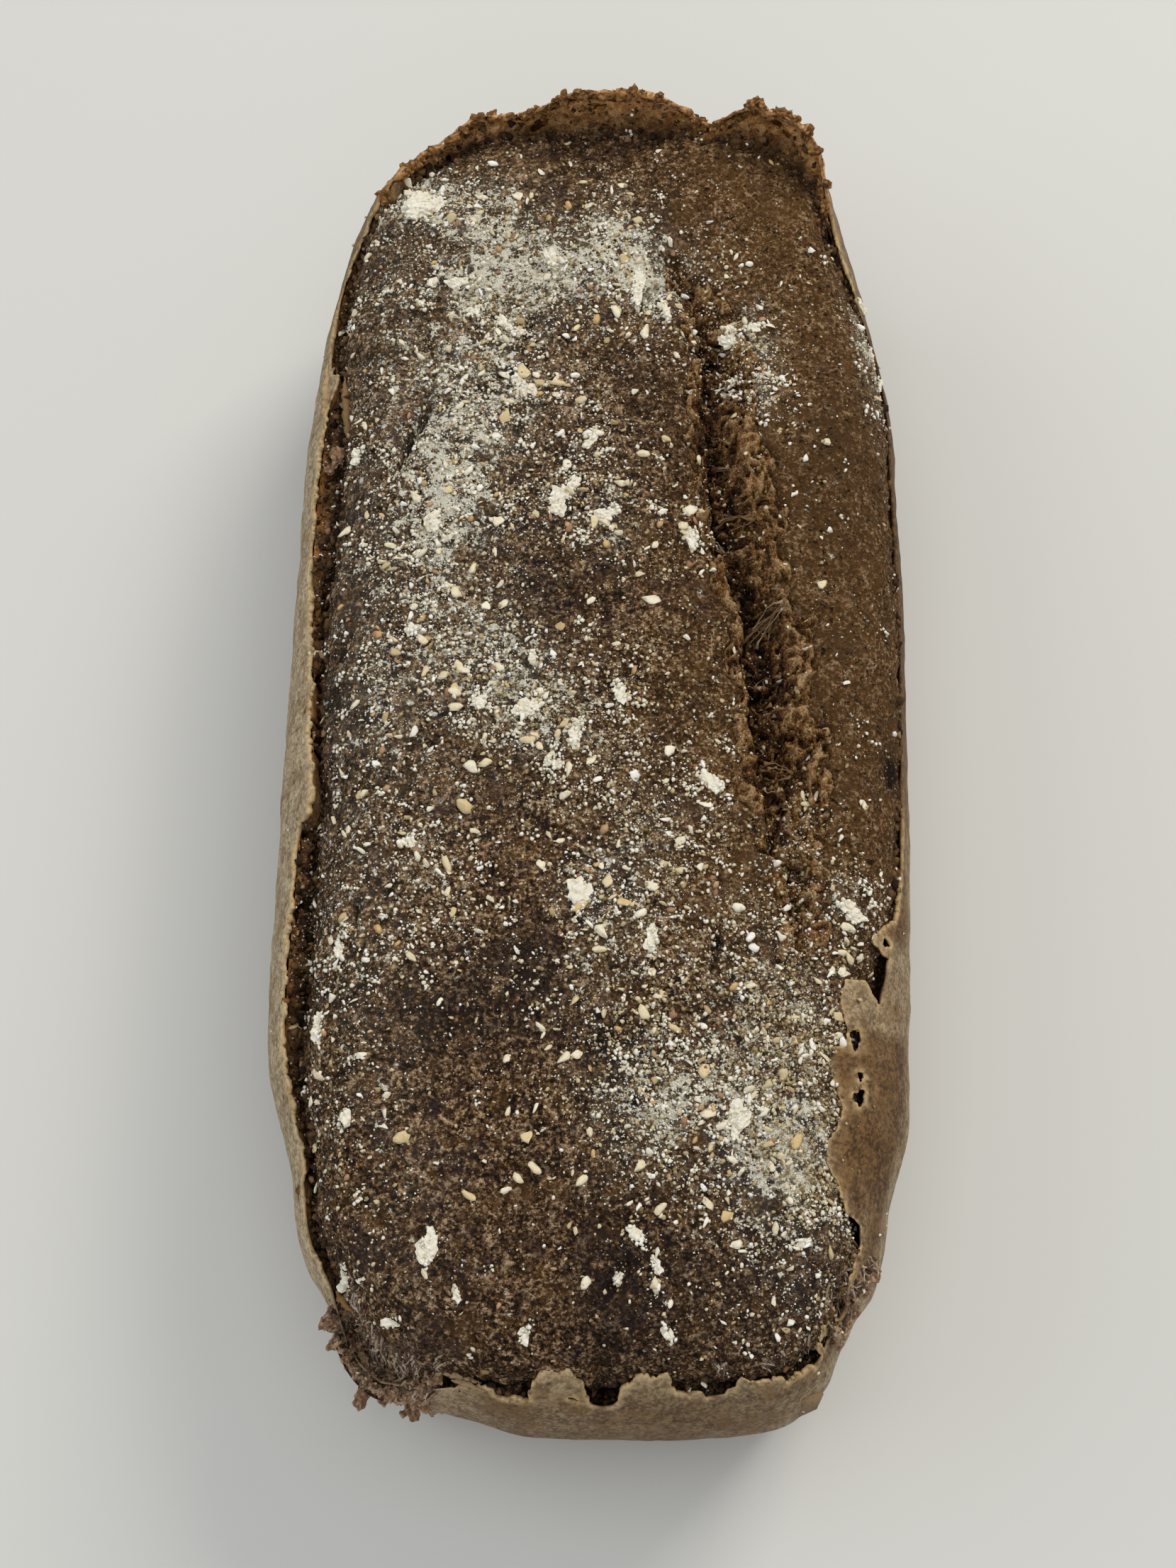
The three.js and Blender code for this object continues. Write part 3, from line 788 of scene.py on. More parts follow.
@dataclass
class Crumb:
    """The loaf's body inside the skin: its shoulders and its burst, speckled top."""

    form: LoafForm
    rim: Rim
    spokes: Spokes
    burst: Burst = field(default_factory=Burst)
    crown: float = 62.5
    shoulder: float = 13.0
    gap_rows: int = 8
    shoulder_rows: int = 33
    crown_rows: int = 50
    # Corners where the torn crumb shows as fibres that run in towards the middle.
    fibred: tuple[Stretch, ...] = (Stretch(602, 8, 6), Stretch(53, 10, 6), Stretch(634, 2, 6, 0.4))
    underside: float = 37.0
    # How far the crown's rings run in, and the reach below which its spokes start to merge, in mm.
    CROWN_REACH = 48.0
    MERGE_REACH = 60.0
    # Where short cracks and pits lie: middle, half length, half width, turn in degrees and depth.
    cuts: tuple[tuple[float, ...], ...] = (
        (-33.5, 47.5, 7.5, 0.9, 69, 5.5), (-45.5, -1, 4, 1.5, 80, 5), (50.5, -11, 4, 1.6, 90, 4.5),
        (7.5, 77, 4, 0.7, 60, 2.5), (-12, 83, 5, 0.6, -20, 1.6), (-20, 60, 4, 0.6, 10, 1.6),
        (-44, 8, 3.0, 0.8, 85, 2.5), (-39, -40, 5, 0.5, 86, 1.8), (26, 20, 3, 0.7, 80, 2.0),
        (38, -8, 4, 0.7, 80, 2.4), (1, -63, 3, 1.3, 70, 2.2), (5, -99, 3.5, 1.4, 60, 2.2),
        (20, -45, 4, 1.1, 80, 2.6), (31, -45, 4, 1.2, 75, 3.0), (-14, 71, 3, 0.9, 40, 1.6),
    )

    def top(self, x: Array, y: Array) -> Array:
        """Returns the crown's height, without its shoulders and marks."""
        across = x / self.form.half_width
        along = y / self.form.half_length
        fall = np.where(y > 0, 6.0 * along**3, 2.0 * along**4)
        lumps = 0.7 * np.sin(0.11 * x + 0.05 * y) * np.sin(0.06 * y + 1)
        lumps += 0.4 * np.sin(0.21 * x - 0.13 * y)
        return self.crown - 2.2 * across**2 - fall + lumps

    def cut_depth(self, x: Array, y: Array) -> Array:
        """Returns how deep the short cracks and pits go at each place."""
        depth = np.zeros_like(x)
        for at_x, at_y, half, wide, turn, deep in self.cuts:
            patch = Patch(at_x, at_y, half * 0.6, wide * 0.62, turn, deep)
            depth = np.maximum(depth, patch.over(x, y))
        return depth

    def _shape(self, column: Array, row: Array) -> tuple[Array, dict[str, Array]]:
        """Places the crumb's vertices.

        Args:
            column: each vertex's spoke.
            row: each vertex's ring: the underside, the bottom of the gap, the shoulder, then the crown.

        Returns:
            Points in mm and painted levels.
        """
        first = 2 + self.gap_rows
        last = first + self.shoulder_rows
        inward = np.clip((row - last) / self.crown_rows, 0.0, 1.0)
        left = np.maximum(self.CROWN_REACH * (1.0 - inward), 0.3)
        halvings = np.clip(np.floor(np.log2(self.MERGE_REACH / left)) - 1, 0, 5)
        merge = np.where(inward > 0, 2.0**halvings, 1.0)
        merge = np.where(row == 0, 32.0, merge)
        tape = self.spokes.tape(column, merge, row < 0)
        reach = self.form.reach(tape)
        outer = self.rim.gap_start(tape)
        start = np.maximum(self.rim.crumb_line.at(tape), outer + 0.6)
        angle = np.clip((row - first) / self.shoulder_rows, 0.0, 1.0) * math.pi / 2
        inset = start + self.shoulder * (1.0 - np.cos(angle))
        across_gap = np.clip((row - 2) / self.gap_rows, 0.0, 1.0)
        inset = np.where(row < first, mix(outer, start, across_gap), inset)
        inset = mix(inset, reach, inward)
        inset = np.where(row == 0, reach, np.where(row == 1, outer + 2.0, inset))
        x, y = self.form.place(tape, inset)
        burst = self.burst.shape(x, y)
        floor = self.rim.gap_floor(tape)
        near = ease((inset - start - 1.0) / 5.0)
        banked = floor + self.rim.bank(tape) * (1.0 - ease(across_gap)) ** 1.2
        z = mix(banked, self.top(x, y), np.sin(angle))
        z = z - (burst["drop"] + 2.2 * burst["cover"] + self.cut_depth(x, y)) * near
        z = np.where(row <= 1, self.underside, z)
        x = x - burst["tuck"] * near
        side = 1.0 - ease((z - floor - 0.5) / np.maximum(self.top(x, y) - floor - 4.0, 1.0) * 1.4)
        corner = self.form.over(tape, *self.fibred)
        # The side, gap and deep levels lead the finish to paint shade on the shoulders, in the gap and in
        # cracks; cling and back lead it to paint light on crumb banked against the skin.
        levels = {
            "torn": burst["torn"] * near,
            "deep": np.clip(self.cut_depth(x, y) / 3.0, 0.0, 1.0),
            "side": np.clip(side, 0.0, 1.0),
            "gap": np.where(row < first + 2, 1.0, 0.0) * (1.0 - self.rim.closed(tape)),
            "cling": self.rim.banked(tape) * (1.0 - ease(across_gap * 1.15)) * (row > 1),
            "back": self.rim.far(tape) * (1.0 - ease(across_gap * 0.9)) * (row > 1),
            "fibred": corner * ease(side * 2.0),
            "tape": tape,
            "inset": inset,
            "rooted": ease((row - 2.0) / 2.0),
            "trimmed": np.zeros(len(row)),
        }
        return np.stack([x, y, z], 1), levels

    def _roughen(self, piece: Piece) -> None:
        """Pushes the surface in and out into lumps, grains and pits."""
        points, ways = corners(piece), outward(piece)
        torn, side = painted(piece, "torn"), painted(piece, "side")
        tape, inset = painted(piece, "tape"), painted(piece, "inset")
        gap, fibred = painted(piece, "gap"), painted(piece, "fibred")
        grain = Grain(Seed.CRUMB)
        push = 0.45 * grain.layered(points, 9.0, 2) + 0.3 * grain.layered(points + 5.0, 2.8, 2)
        lump, level = grain.lumps(points, 2.1)
        push += 0.3 * (ease(lump) - 0.5) * (0.5 + level)
        coarse, level = grain.lumps(points + 80.0, 3.3)
        rough = torn + 0.5 * side + gap
        push += rough * (1.1 * (ease(coarse) - 0.5) + 0.5 * grain.soft(points, 1.6))
        strands = np.stack([tape, 0.12 * inset, 0.1 * points[:, 2]], 1)
        thick, thin = grain.soft(strands, 1.3), grain.soft(strands + 7.0, 0.6)
        push += fibred * (1.1 * thick + 0.5 * thin - 0.4)
        push -= gap * 1.2 * ease(grain.soft(points + 33.0, 3.0) * 2.0)
        push *= painted(piece, "rooted")
        move_corners(piece, points + ways * push[:, None])
        paint(piece, "relief", push)

    def _mark(self, piece: Piece) -> None:
        """Paints where flour, grit and dark blotches are, and where the crumb is warmer."""
        points = corners(piece)
        x, y = points[:, 0], points[:, 1]
        clear = 1.0 - np.clip(painted(piece, "torn") + painted(piece, "side"), 0.0, 1.0)
        paint(piece, "flour", np.clip(patched(FLOURED, x, y), 0.0, 1.0) * clear)
        paint(piece, "grit", np.clip(patched(GRITTED, x, y), 0.0, 1.0) * clear)
        paint(piece, "dark", np.clip(patched(DARKENED, x, y), 0.0, 1.0))
        paint(piece, "warm", ease((x + 2.0) / 34.0) * ease((y + 62.0) / 40.0))

    def build(self) -> Piece:
        """Builds the crumb and returns it."""
        rows = 3 + self.gap_rows + self.shoulder_rows + self.crown_rows
        piece, _ = lay_grid("crumb", self.spokes.count, rows, self._shape)
        close_up(piece)
        self._roughen(piece)
        self._mark(piece)
        return piece


@dataclass
class Skin:
    """The baked skin: base, sides, and the thin torn rim that stands off the crumb."""

    form: LoafForm
    rim: Rim
    spokes: Spokes
    wall_rows: int = 8
    dome_rows: int = 12
    rim_rows: int = 17
    inner_rows: int = 5
    thickness: float = 0.55
    floor_inside: float = 38.5
    snap: float = 0.5
    # Where the outside is mealy crumb, in relief and in colour, and where the skin is pale.
    mealy_relief: Stretch = Stretch(600, 8, 4)
    mealy: Stretch = Stretch(600, 9, 4)
    left_pale: tuple[Stretch, ...] = (Stretch(508, 88, 34, 0.95), Stretch(318, 60, 40, 0.3))
    front_pale: Stretch = Stretch(0, 50, 30, 0.24)
    front_edge: Stretch = Stretch(0, 50, 14, 0.36)
    right_pale: Stretch = Stretch(120, 70, 30)
    tab_pale: Stretch = Stretch(111, 6, 4, 0.55)

    # Insets of the rings across the base, and angles of those round its edge.
    BASE_INSETS = (0.0, 34.0, 17.0)
    EDGE_TURNS = (0.0, 0.35, 0.7, 1.05, 1.3, math.pi / 2)

    @property
    def rim_start(self) -> int:
        """Returns the first of the close rings at the torn rim."""
        return len(self.BASE_INSETS) + len(self.EDGE_TURNS) + self.wall_rows + self.dome_rows

    def _dome(self, tape: Array, back: Array, share: Array) -> tuple[Array, Array, Array]:
        """Finds places on the outside of the dome.

        Args:
            tape: places on the tape.
            back: how far back from the dome's inner end, in mm, as long as share is 1.
            share: scales the way up, 0 at the bulge.

        Returns:
            Inset, height and the angle of the slope there.
        """
        rim, grain = self.rim, self.rim.grain
        width, end = rim.dome_width(tape), rim.skin_line.at(tape)
        low = self.form.bulge_height
        rise = rim.dome_height(tape) - low
        top_angle = rim.dome_angle(tape, np.minimum(end, width))
        curved = top_angle * 0.5 * (width + rise)
        total = curved + np.maximum(end - width, 0.0)
        run = share * (total - back)
        angle = top_angle * np.minimum(run / curved, 1.0)
        inset = width * (1.0 - np.cos(angle)) + np.maximum(run - curved, 0.0)
        x, y = self.form.edge(tape)
        spots = np.stack([x, y, 1.4 * inset + 12.0 * angle], 1)
        loose = (1.0 - 0.8 * rim.closed(tape)) * ease((angle - 0.35) / 0.7)
        sway = loose * (0.5 * grain.soft(spots, 8.0) + 0.25 * grain.soft(spots + 9.0, 3.0))
        lift = loose * (0.5 * grain.soft(spots + 50.0, 10.0) + 0.3 * grain.soft(spots + 70.0, 3.5))
        return inset + sway, low + rise * np.sin(angle) + lift, angle

    def _shape(self, column: Array, row: Array) -> tuple[Array, dict[str, Array]]:
        """Places the skin's vertices.

        Args:
            column: each vertex's spoke.
            row: each vertex's ring: base, side, dome, edge, inner face and the floor inside.

        Returns:
            Points in mm and painted levels.
        """
        form, rim = self.form, self.rim
        base_insets, turns = np.array(self.BASE_INSETS), np.array(self.EDGE_TURNS)
        side_start = len(base_insets) + len(turns)
        dome_start = side_start + self.wall_rows
        rim_start = self.rim_start
        inner_start = rim_start + self.rim_rows
        last = inner_start + self.rim_rows + self.inner_rows + 1
        merge = np.select([row == 0, row == 1, row == 2, row == last], [32.0, 8.0, 4.0, 32.0], 1.0)
        tape = self.spokes.tape(column, merge, (row == 1) | (row == 2))
        reach = form.reach(tape)
        # base and its rounded edge
        turn = turns[np.clip(row - len(base_insets), 0, len(turns) - 1)]
        z = form.base_rounding * (1.0 - np.cos(turn))
        inset = form.base_rounding * (1.0 - np.sin(turn))
        inset = inset + form.side_taper * (1.0 - z / form.bulge_height)
        inset = np.where(row < len(base_insets), base_insets[np.clip(row, 0, 2)], inset)
        inset = np.where(row == 0, reach, inset)
        # side
        up = np.clip((row - side_start + 1) / self.wall_rows, 0.0, 1.0)
        side_z = mix(form.base_rounding, form.bulge_height, up)
        on_side = (row >= side_start) & (row < dome_start)
        z = np.where(on_side, side_z, z)
        inset = np.where(on_side, form.side_taper * (1.0 - side_z / form.bulge_height), inset)
        # dome, with close rows where it is torn
        share = np.clip((row - dome_start + 1) / (self.dome_rows + 1), 0.0, 1.0)
        rim_width = rim.width_line.at(tape)
        step = rim_width / (self.rim_rows - 1)
        back = np.where(row < rim_start, rim_width, (inner_start - 1 - row) * step)
        dome_inset, dome_z, angle = self._dome(tape, back, share)
        on_dome = (row >= dome_start) & (row < inner_start)
        inset, z = np.where(on_dome, dome_inset, inset), np.where(on_dome, dome_z, z)
        # inner face, with the same close rows, and on down to the floor inside
        down = np.clip((row - inner_start - self.rim_rows + 1) / self.inner_rows, 0.0, 1.0)
        back = np.clip((row - inner_start) * step, 0.0, rim_width)
        inner_inset, inner_z, angle = self._dome(tape, back, 1.0 - 0.55 * down)
        run = rim.dome_width(tape) * np.sin(angle)
        rise = (rim.dome_height(tape) - form.bulge_height) * np.cos(angle)
        norm = np.hypot(run, rise)
        thick = self.thickness * (1.0 + down)
        inner_inset = inner_inset + thick * rise / norm
        inner_z = inner_z - thick * run / norm
        inner_z = mix(inner_z, self.floor_inside + 0.6, ease((down - 0.5) / 0.5))
        inside = row >= inner_start
        inset, z = np.where(inside, inner_inset, inset), np.where(inside, inner_z, z)
        under = row >= inner_start + self.rim_rows + self.inner_rows
        inset = np.where(under, np.where(row == last, reach, 16.0), inset)
        z = np.where(under, self.floor_inside, z)
        x, y = form.place(tape, inset)
        loose = np.where(inside, 1.0, on_dome * ease((z - 53.0) / 5.0))
        levels = {
            "tape": tape,
            "inner": np.where(inside, 1.0, 0.0),
            "far": rim.far(tape),
            "trimmed": ((row >= rim_start) & (row < inner_start + self.rim_rows))
            & (column % self.spokes.count > 0),
            "loose": loose * (1.0 - rim.closed(tape)),
            "hidden": np.where(under, 1.0, 0.0),
        }
        return np.stack([x, y, z], 1), levels

    def _roughen(self, piece: Piece) -> None:
        """Gives the skin its creases and grain, and the far rim its lumps of torn crumb."""
        points, ways = corners(piece), outward(piece)
        inner, far = painted(piece, "inner"), painted(piece, "far")
        grain = Grain(Seed.SKIN)
        push = 0.2 * grain.layered(points, 7.0, 2) + 0.08 * grain.soft(points + 3.0, 1.7)
        push += 0.12 * grain.soft(points + 60.0, (3.0, 3.0, 9.0))
        lump, _ = grain.lumps(points, 3.4)
        high = ease((points[:, 2] - 46.0) / 8.0)
        lumpy = 0.8 * (ease(lump) - 0.4) + 0.5 * grain.soft(points, 1.8)
        lumpy += 0.25 * grain.soft(points, 0.9)
        push += 0.85 * far * high * lumpy * (0.55 + 0.45 * inner)
        push += 0.3 * self.rim.closed(painted(piece, "tape")) * high * lumpy
        mealy = self.form.over(painted(piece, "tape"), self.mealy_relief)
        push += 0.6 * mealy * ease((points[:, 2] - 3.0) / 8.0) * (1.0 - inner) * lumpy
        push *= 1.0 - painted(piece, "hidden")
        push = np.where(points[:, 2] < 0.3, 0.0, push)
        move_corners(piece, points + ways * push[:, None])

    def _hole_rings(self) -> list[Array]:
        """Returns the outlines of the holes, as x and y in mm."""
        draw = np.random.default_rng(Seed.SKIN_HOLES)
        rings = []
        for tape, inset, along, across in self.rim.HOLES:
            spot = np.stack(self.form.place(np.array([tape]), np.array([inset])), 1)[0]
            ahead = np.stack(self.form.place(np.array([tape + 1.0]), np.array([inset])), 1)[0] - spot
            ahead /= np.linalg.norm(ahead)
            turn = np.linspace(0.0, math.tau, 24, endpoint=False)
            jag = 1.0 + 0.22 * np.sin(3 * turn + draw.uniform(0, 6)) + 0.12 * np.sin(7 * turn)
            run, side = along * jag * np.cos(turn), across * jag * np.sin(turn)
            out = np.array([-ahead[1], ahead[0]])
            rings.append(spot + run[:, None] * ahead + side[:, None] * out)
        return rings

    def _trim(self, piece: Piece, number: Array, rings: Sequence[Array]) -> None:
        """Takes away what lies inside the torn outline and the holes, and closes the cut edge.

        Args:
            piece: the skin, straight from its grid.
            number: the vertex at each row and column.
            rings: the outline of the torn edge, then those of the holes.
        """
        top, rows = self.rim_start, self.rim_rows
        outer, inner = number[top : top + rows], number[top + rows : top + 2 * rows][::-1]
        points = corners(piece)
        flat = points[outer][..., :2]
        middle = 0.25 * (flat[:-1, :-1] + flat[1:, :-1] + flat[:-1, 1:] + flat[1:, 1:])
        gone = np.zeros(middle.shape[:2], dtype=bool)
        for ring in rings:
            gone |= within(middle.reshape(-1, 2), ring).reshape(gone.shape)
        gone[-1] = True
        # vertices on the border move on to the outline
        padded = np.pad(gone, ((1, 1), (0, 0)), mode="edge")
        padded = np.concatenate([padded[:, -1:], padded, padded[:, :1]], axis=1)
        around = [padded[:-1, :-1], padded[1:, :-1], padded[:-1, 1:], padded[1:, 1:]]
        border = np.any(around, axis=0) & ~np.all(around, axis=0)
        tree = KDTree(sum(len(r) for r in rings))
        for spot, (x, y) in enumerate(np.concatenate(rings)):
            tree.insert((x, y, 0.0), spot)
        tree.balance()
        away = np.full(len(points), FAR_OFF)
        for row, column in np.ndindex(outer.shape):
            here = flat[row, column]
            near, _, gap = tree.find((here[0], here[1], 0.0))
            moved = border[row, column] and gap < self.snap
            shift = np.array(near[:2]) - here if moved else np.zeros(2)
            for vertex in (outer[row, column], inner[row, column]):
                points[vertex, :2] += shift
                away[vertex] = 0.0 if moved else gap
        move_corners(piece, points)
        # How near each vertex is to the torn edge; the finish paints a light glow along it.
        paint(piece, "edge", np.exp(-away / 0.5))
        self._rebuild(piece, outer, inner, gone)

    @staticmethod
    def _rebuild(piece: Piece, outer: Array, inner: Array, gone: Array) -> None:
        """Deletes the cells that are gone from both faces of the rim and joins the faces at the cut.

        Args:
            piece: the skin.
            outer: vertices of the rim's outer face, by row and column.
            inner: the vertices under them.
            gone: which cells between them are cut away.
        """
        shell = bmesh.new()
        shell.from_mesh(piece.data)
        shell.verts.ensure_lookup_table()
        spots = shell.verts
        doomed = []
        for row, column in zip(*np.nonzero(gone)):
            for sheet in (outer, inner):
                cell = sheet[row : row + 2, column : column + 2].ravel()
                found = shell.faces.get([spots[i] for i in cell[[0, 1, 3, 2]]])
                doomed.append(found)
        for column in range(gone.shape[1]):
            pair = [*outer[-1, column : column + 2], *inner[-1, column : column + 2][::-1]]
            doomed.append(shell.faces.get([spots[i] for i in pair]))
        columns = gone.shape[1]
        for column in np.flatnonzero(gone[0]):
            pair = [*outer[0, column : column + 2], *inner[0, column : column + 2][::-1]]
            shell.faces.new([spots[i] for i in pair])
        for row, column in zip(*np.nonzero(~gone)):
            beside = {
                ((row, column), (row, column + 1)): row > 0 and gone[row - 1, column],
                ((row + 1, column), (row + 1, column + 1)): gone[row + 1, column],
                ((row, column), (row + 1, column)): gone[row, (column - 1) % columns],
                ((row, column + 1), (row + 1, column + 1)): gone[row, (column + 1) % columns],
            }
            for (first, last), open_side in beside.items():
                if open_side:
                    edge = (outer[first], outer[last], inner[last], inner[first])
                    shell.faces.new([spots[i] for i in edge])
        bmesh.ops.delete(shell, geom=[f for f in doomed if f], context="FACES")
        shell.to_mesh(piece.data)
        shell.free()

    def _mark(self, piece: Piece) -> None:
        """Paints where the skin is pale."""
        tape, height = painted(piece, "tape"), corners(piece)[:, 2]
        high, low = ease((height - 49.0) / 7.0), 1.0 - ease((height - 40.0) / 9.0)
        over = self.form.over
        front = over(tape, self.front_pale) + over(tape, self.front_edge) * high
        right = over(tape, self.right_pale) * mix(0.0, 0.75, low)
        tab = over(tape, self.tab_pale) * (1.0 - low)
        paint(piece, "mealy", over(tape, self.mealy) * ease((height - 14.0) / 14.0))
        joined = self.rim.closed(tape) * ease((height - 35.0) / 5.0)
        paint(piece, "joined", joined * (1.0 - 0.45 * ease((172.0 - tape) / 30.0)))
        paint(piece, "pale", np.clip(over(tape, *self.left_pale) + front + right + tab, 0.0, 1.0))

    def build(self) -> Piece:
        """Builds the skin and returns it."""
        rows = self.rim_start + 2 * self.rim_rows + self.inner_rows + 2
        piece, number = lay_grid("skin", self.spokes.count, rows, self._shape)
        self._trim(piece, number, [self.rim.outline(), *self._hole_rings()])
        close_up(piece)
        self._roughen(piece)
        self._mark(piece)
        return piece


@dataclass
class Tear:
    """The rough crumb laid bare by the burst: pitted, stringy and finer than the rest."""

    crumb: Crumb
    columns: int = 96
    rows: int = 600
    near_y: float = -53.0
    far_y: float = 93.0
    left: float = -5.5
    right: float = 18.0

    def _relief(self, spots: Array, cover: Array) -> Array:
        """Returns how far the torn surface stands out at each place, in mm."""
        grain = Grain(Seed.TEAR)
        swirl = spots * [1.0, 0.8, 1.0]
        swirl = swirl + 1.3 * np.stack([grain.soft(spots + k, 3.4) for k in (0.0, 40.0, 80.0)], 1)
        relief = 1.0 * (0.4 - 2.2 * np.abs(grain.soft(swirl, 2.9)))
        relief += 1.1 * (0.4 - 2.2 * np.abs(grain.soft(swirl + 20.0, 1.45)))
        relief += 0.8 * (0.4 - 2.2 * np.abs(grain.soft(swirl + 50.0, 0.75)))
        near, level = grain.lumps(swirl + 9.0, 3.4)
        relief -= 3.0 * ease((near - 0.25) / 0.25) * (level < 0.27)
        near, level = grain.lumps(swirl + 70.0, 1.8)
        relief -= 1.6 * ease((near - 0.3) / 0.3) * (level < 0.3)
        return relief * ease(cover)

    def _shape(self, points: Array) -> tuple[Array, dict[str, Array]]:
        """Places the torn crumb's vertices.

        Args:
            points: the flat grid's vertices, -1 to 1.

        Returns:
            Points in mm and painted levels.
        """
        burst, top = self.crumb.burst, self.crumb.top
        y = mix(self.near_y, self.far_y, 0.5 + 0.5 * points[:, 1])
        lip = np.interp(y, burst.line_y, burst.line_x)
        x = lip + mix(self.left, self.right, 0.5 + 0.5 * points[:, 0])
        shape = burst.shape(x, y)
        cover = shape["cover"]
        z = top(x, y) - shape["drop"]
        relief = self._relief(np.stack([x, y, z], 1), cover)
        z = z + relief - 0.2 - 2.4 * (1.0 - ease(cover * 1.6))
        x = x - shape["tuck"]
        # How deep the burst drops here; the finish darkens it there as painted shade.
        depth = np.clip(shape["drop"] / 7.0, 0.0, 1.0)
        return np.stack([x, y, z], 1), {"relief": relief, "depth": depth, "cover": cover}

    def build(self) -> Piece:
        """Builds the torn crumb and returns it."""
        piece, flat = flat_grid("torn_crumb", self.columns, self.rows)
        points, levels = self._shape(flat)
        move_corners(piece, points)
        paint(piece, "relief", levels["relief"])
        paint(piece, "depth", levels["depth"])
        push = 0.3 * Grain(Seed.FINE_TEAR).soft(points, 0.75) * ease(levels["cover"])
        move_corners(piece, points + outward(piece) * push[:, None])
        buried = levels["cover"] < 0.02
        shell = bmesh.new()
        shell.from_mesh(piece.data)
        shell.verts.ensure_lookup_table()
        faces = [f for f in shell.faces if all(buried[v.index] for v in f.verts)]
        bmesh.ops.delete(shell, geom=faces, context="FACES")
        shell.to_mesh(piece.data)
        shell.free()
        bpy.ops.object.shade_smooth()
        return piece


@dataclass
class Corner:
    """Fibrous crumb that fills a corner where the skin is torn away."""

    name: str
    rim: Rim
    first: float
    last: float
    outside: float
    columns: int = 104
    rows: int = 78
    fibres: int = 520
    seed: int = 5
    bottom: float = 33.0
    combed: float = 0.56
    # The steps from the shoulder down, 0 to 1, and the heights of the shoulder and the ledge in mm.
    KNOTS = (0.0, 0.14, 0.28, 0.42, 0.56, 0.72, 0.88, 1.0)
    SHOULDER = 59.0
    LEDGE = 45.0
    # How thick a fibre is at each place along it, as a share of its thickness.
    TAPER = (1.2, 1.1, 1.0, 0.8, 0.6, 0.15)

    def surface(self, tape: Array, down: Array) -> Array:
        """Finds places on the corner.

        Args:
            tape: places on the tape.
            down: 0 on the shoulder to 1 at the bottom of the outside.

        Returns:
            Points in mm.
        """
        start, floor = self.rim.crumb_line.at(tape), self.rim.gap_floor(tape)
        rise, knots = self.SHOULDER - floor, self.KNOTS
        insets = [start + 5.2, start + 3.0, start + 1.2, 0.75 * start + 0.6, 0.35 * start + 0.6]
        heights = [floor + 0.78 * rise - 1.4, floor + 0.66 * rise + 0.2, floor + 0.46 * rise,
                   floor + 2.0, floor + 1.7]
        form = self.rim.form
        middle = 0.5 * (self.LEDGE + self.bottom)
        for z, away in ((self.LEDGE + 0.5, 0.4), (middle, 0.0), (self.bottom, 1.8)):
            taper = form.side_taper * max(1.0 - z / form.bulge_height, 0.0)
            insets.append(self.outside + away + taper + 0.0 * tape)
            heights.append(z + 0.0 * tape)
        step = np.clip(np.searchsorted(knots, down, side="right") - 1, 0, len(knots) - 2)
        low, high = np.take(knots, step), np.take(knots, step + 1)
        share = (down - low) / (high - low)
        at = np.arange(len(tape))
        inset_rows, height_rows = np.array(insets), np.array(heights)
        inset = mix(inset_rows[step, at], inset_rows[step + 1, at], share)
        z = mix(height_rows[step, at], height_rows[step + 1, at], share)
        ends = ease((tape - self.first) / 3.0) * ease((self.last - tape) / 3.0)
        inset, z = inset + 1.6 * (1.0 - ends), z - 3.0 * (1.0 - ends)
        x, y = form.place(tape, inset)
        return np.stack([x, y, z], 1)

    def build(self) -> Piece:
        """Builds the corner and returns it."""
        piece, flat = flat_grid(self.name, self.columns, self.rows)
        tape = mix(self.first, self.last, 0.5 + 0.5 * flat[:, 0])
        down = 0.5 - 0.5 * flat[:, 1]
        spots = self.surface(tape, down)
        move_corners(piece, spots)
        grain = Grain(self.seed)
        strands = np.column_stack([tape, 1.6 * down, 0.0 * tape]) * [1.0, 6.0, 1.0]
        push = 0.9 * grain.soft(strands, (1.6, 5.0, 1.0))
        push += 0.55 * (0.4 - 2.0 * np.abs(grain.soft(strands + 9.0, (0.8, 3.0, 1.0))))
        push += 0.5 * grain.soft(spots, 1.8) - 0.2
        near, level = grain.lumps(spots, 1.5)
        push += 0.7 * (ease(near) - 0.5) * (0.4 + level)
        move_corners(piece, spots + outward(piece) * push[:, None])
        paint(piece, "relief", push)
        pits = ease(grain.soft(spots + 40.0, 2.2) * 2.4 + 0.5)
        # A band of pits below the corner's shoulder, which the finish darkens as painted shade.
        paint(piece, "depth", 2.0 * pits * np.exp(-(((down - 0.36) / 0.1) ** 2)))
        # The lower outside is bare mealy crumb, coloured lighter as painted light.
        paint(piece, "bare", ease((down - 0.42) / 0.12))
        bpy.ops.object.shade_smooth()
        return piece

    def comb(self, bench: "Strands") -> None:
        """Adds the corner's loose fibres to a bench."""
        draw, steps = np.random.default_rng(self.seed), len(self.TAPER)
        for _ in range(self.fibres):
            tape = draw.uniform(self.first + 1.5, self.last - 1.5)
            top = draw.uniform(0.04, self.combed)
            downs = np.linspace(top, min(top + draw.uniform(0.06, 0.2), 0.8), steps)
            tapes = tape + np.cumsum(draw.normal(size=steps)) * 0.2
            line = self.surface(tapes + draw.normal() * (downs - top) * 12.0, downs)
            line[:, 2] += 0.35 + 0.5 * np.sin(np.linspace(0.0, math.pi, steps)) * draw.uniform(0.2, 1.2)
            thin = draw.uniform(0.08, 0.28)
            bench.add(line, thin * np.array(self.TAPER), 0.6, float(draw.uniform()))


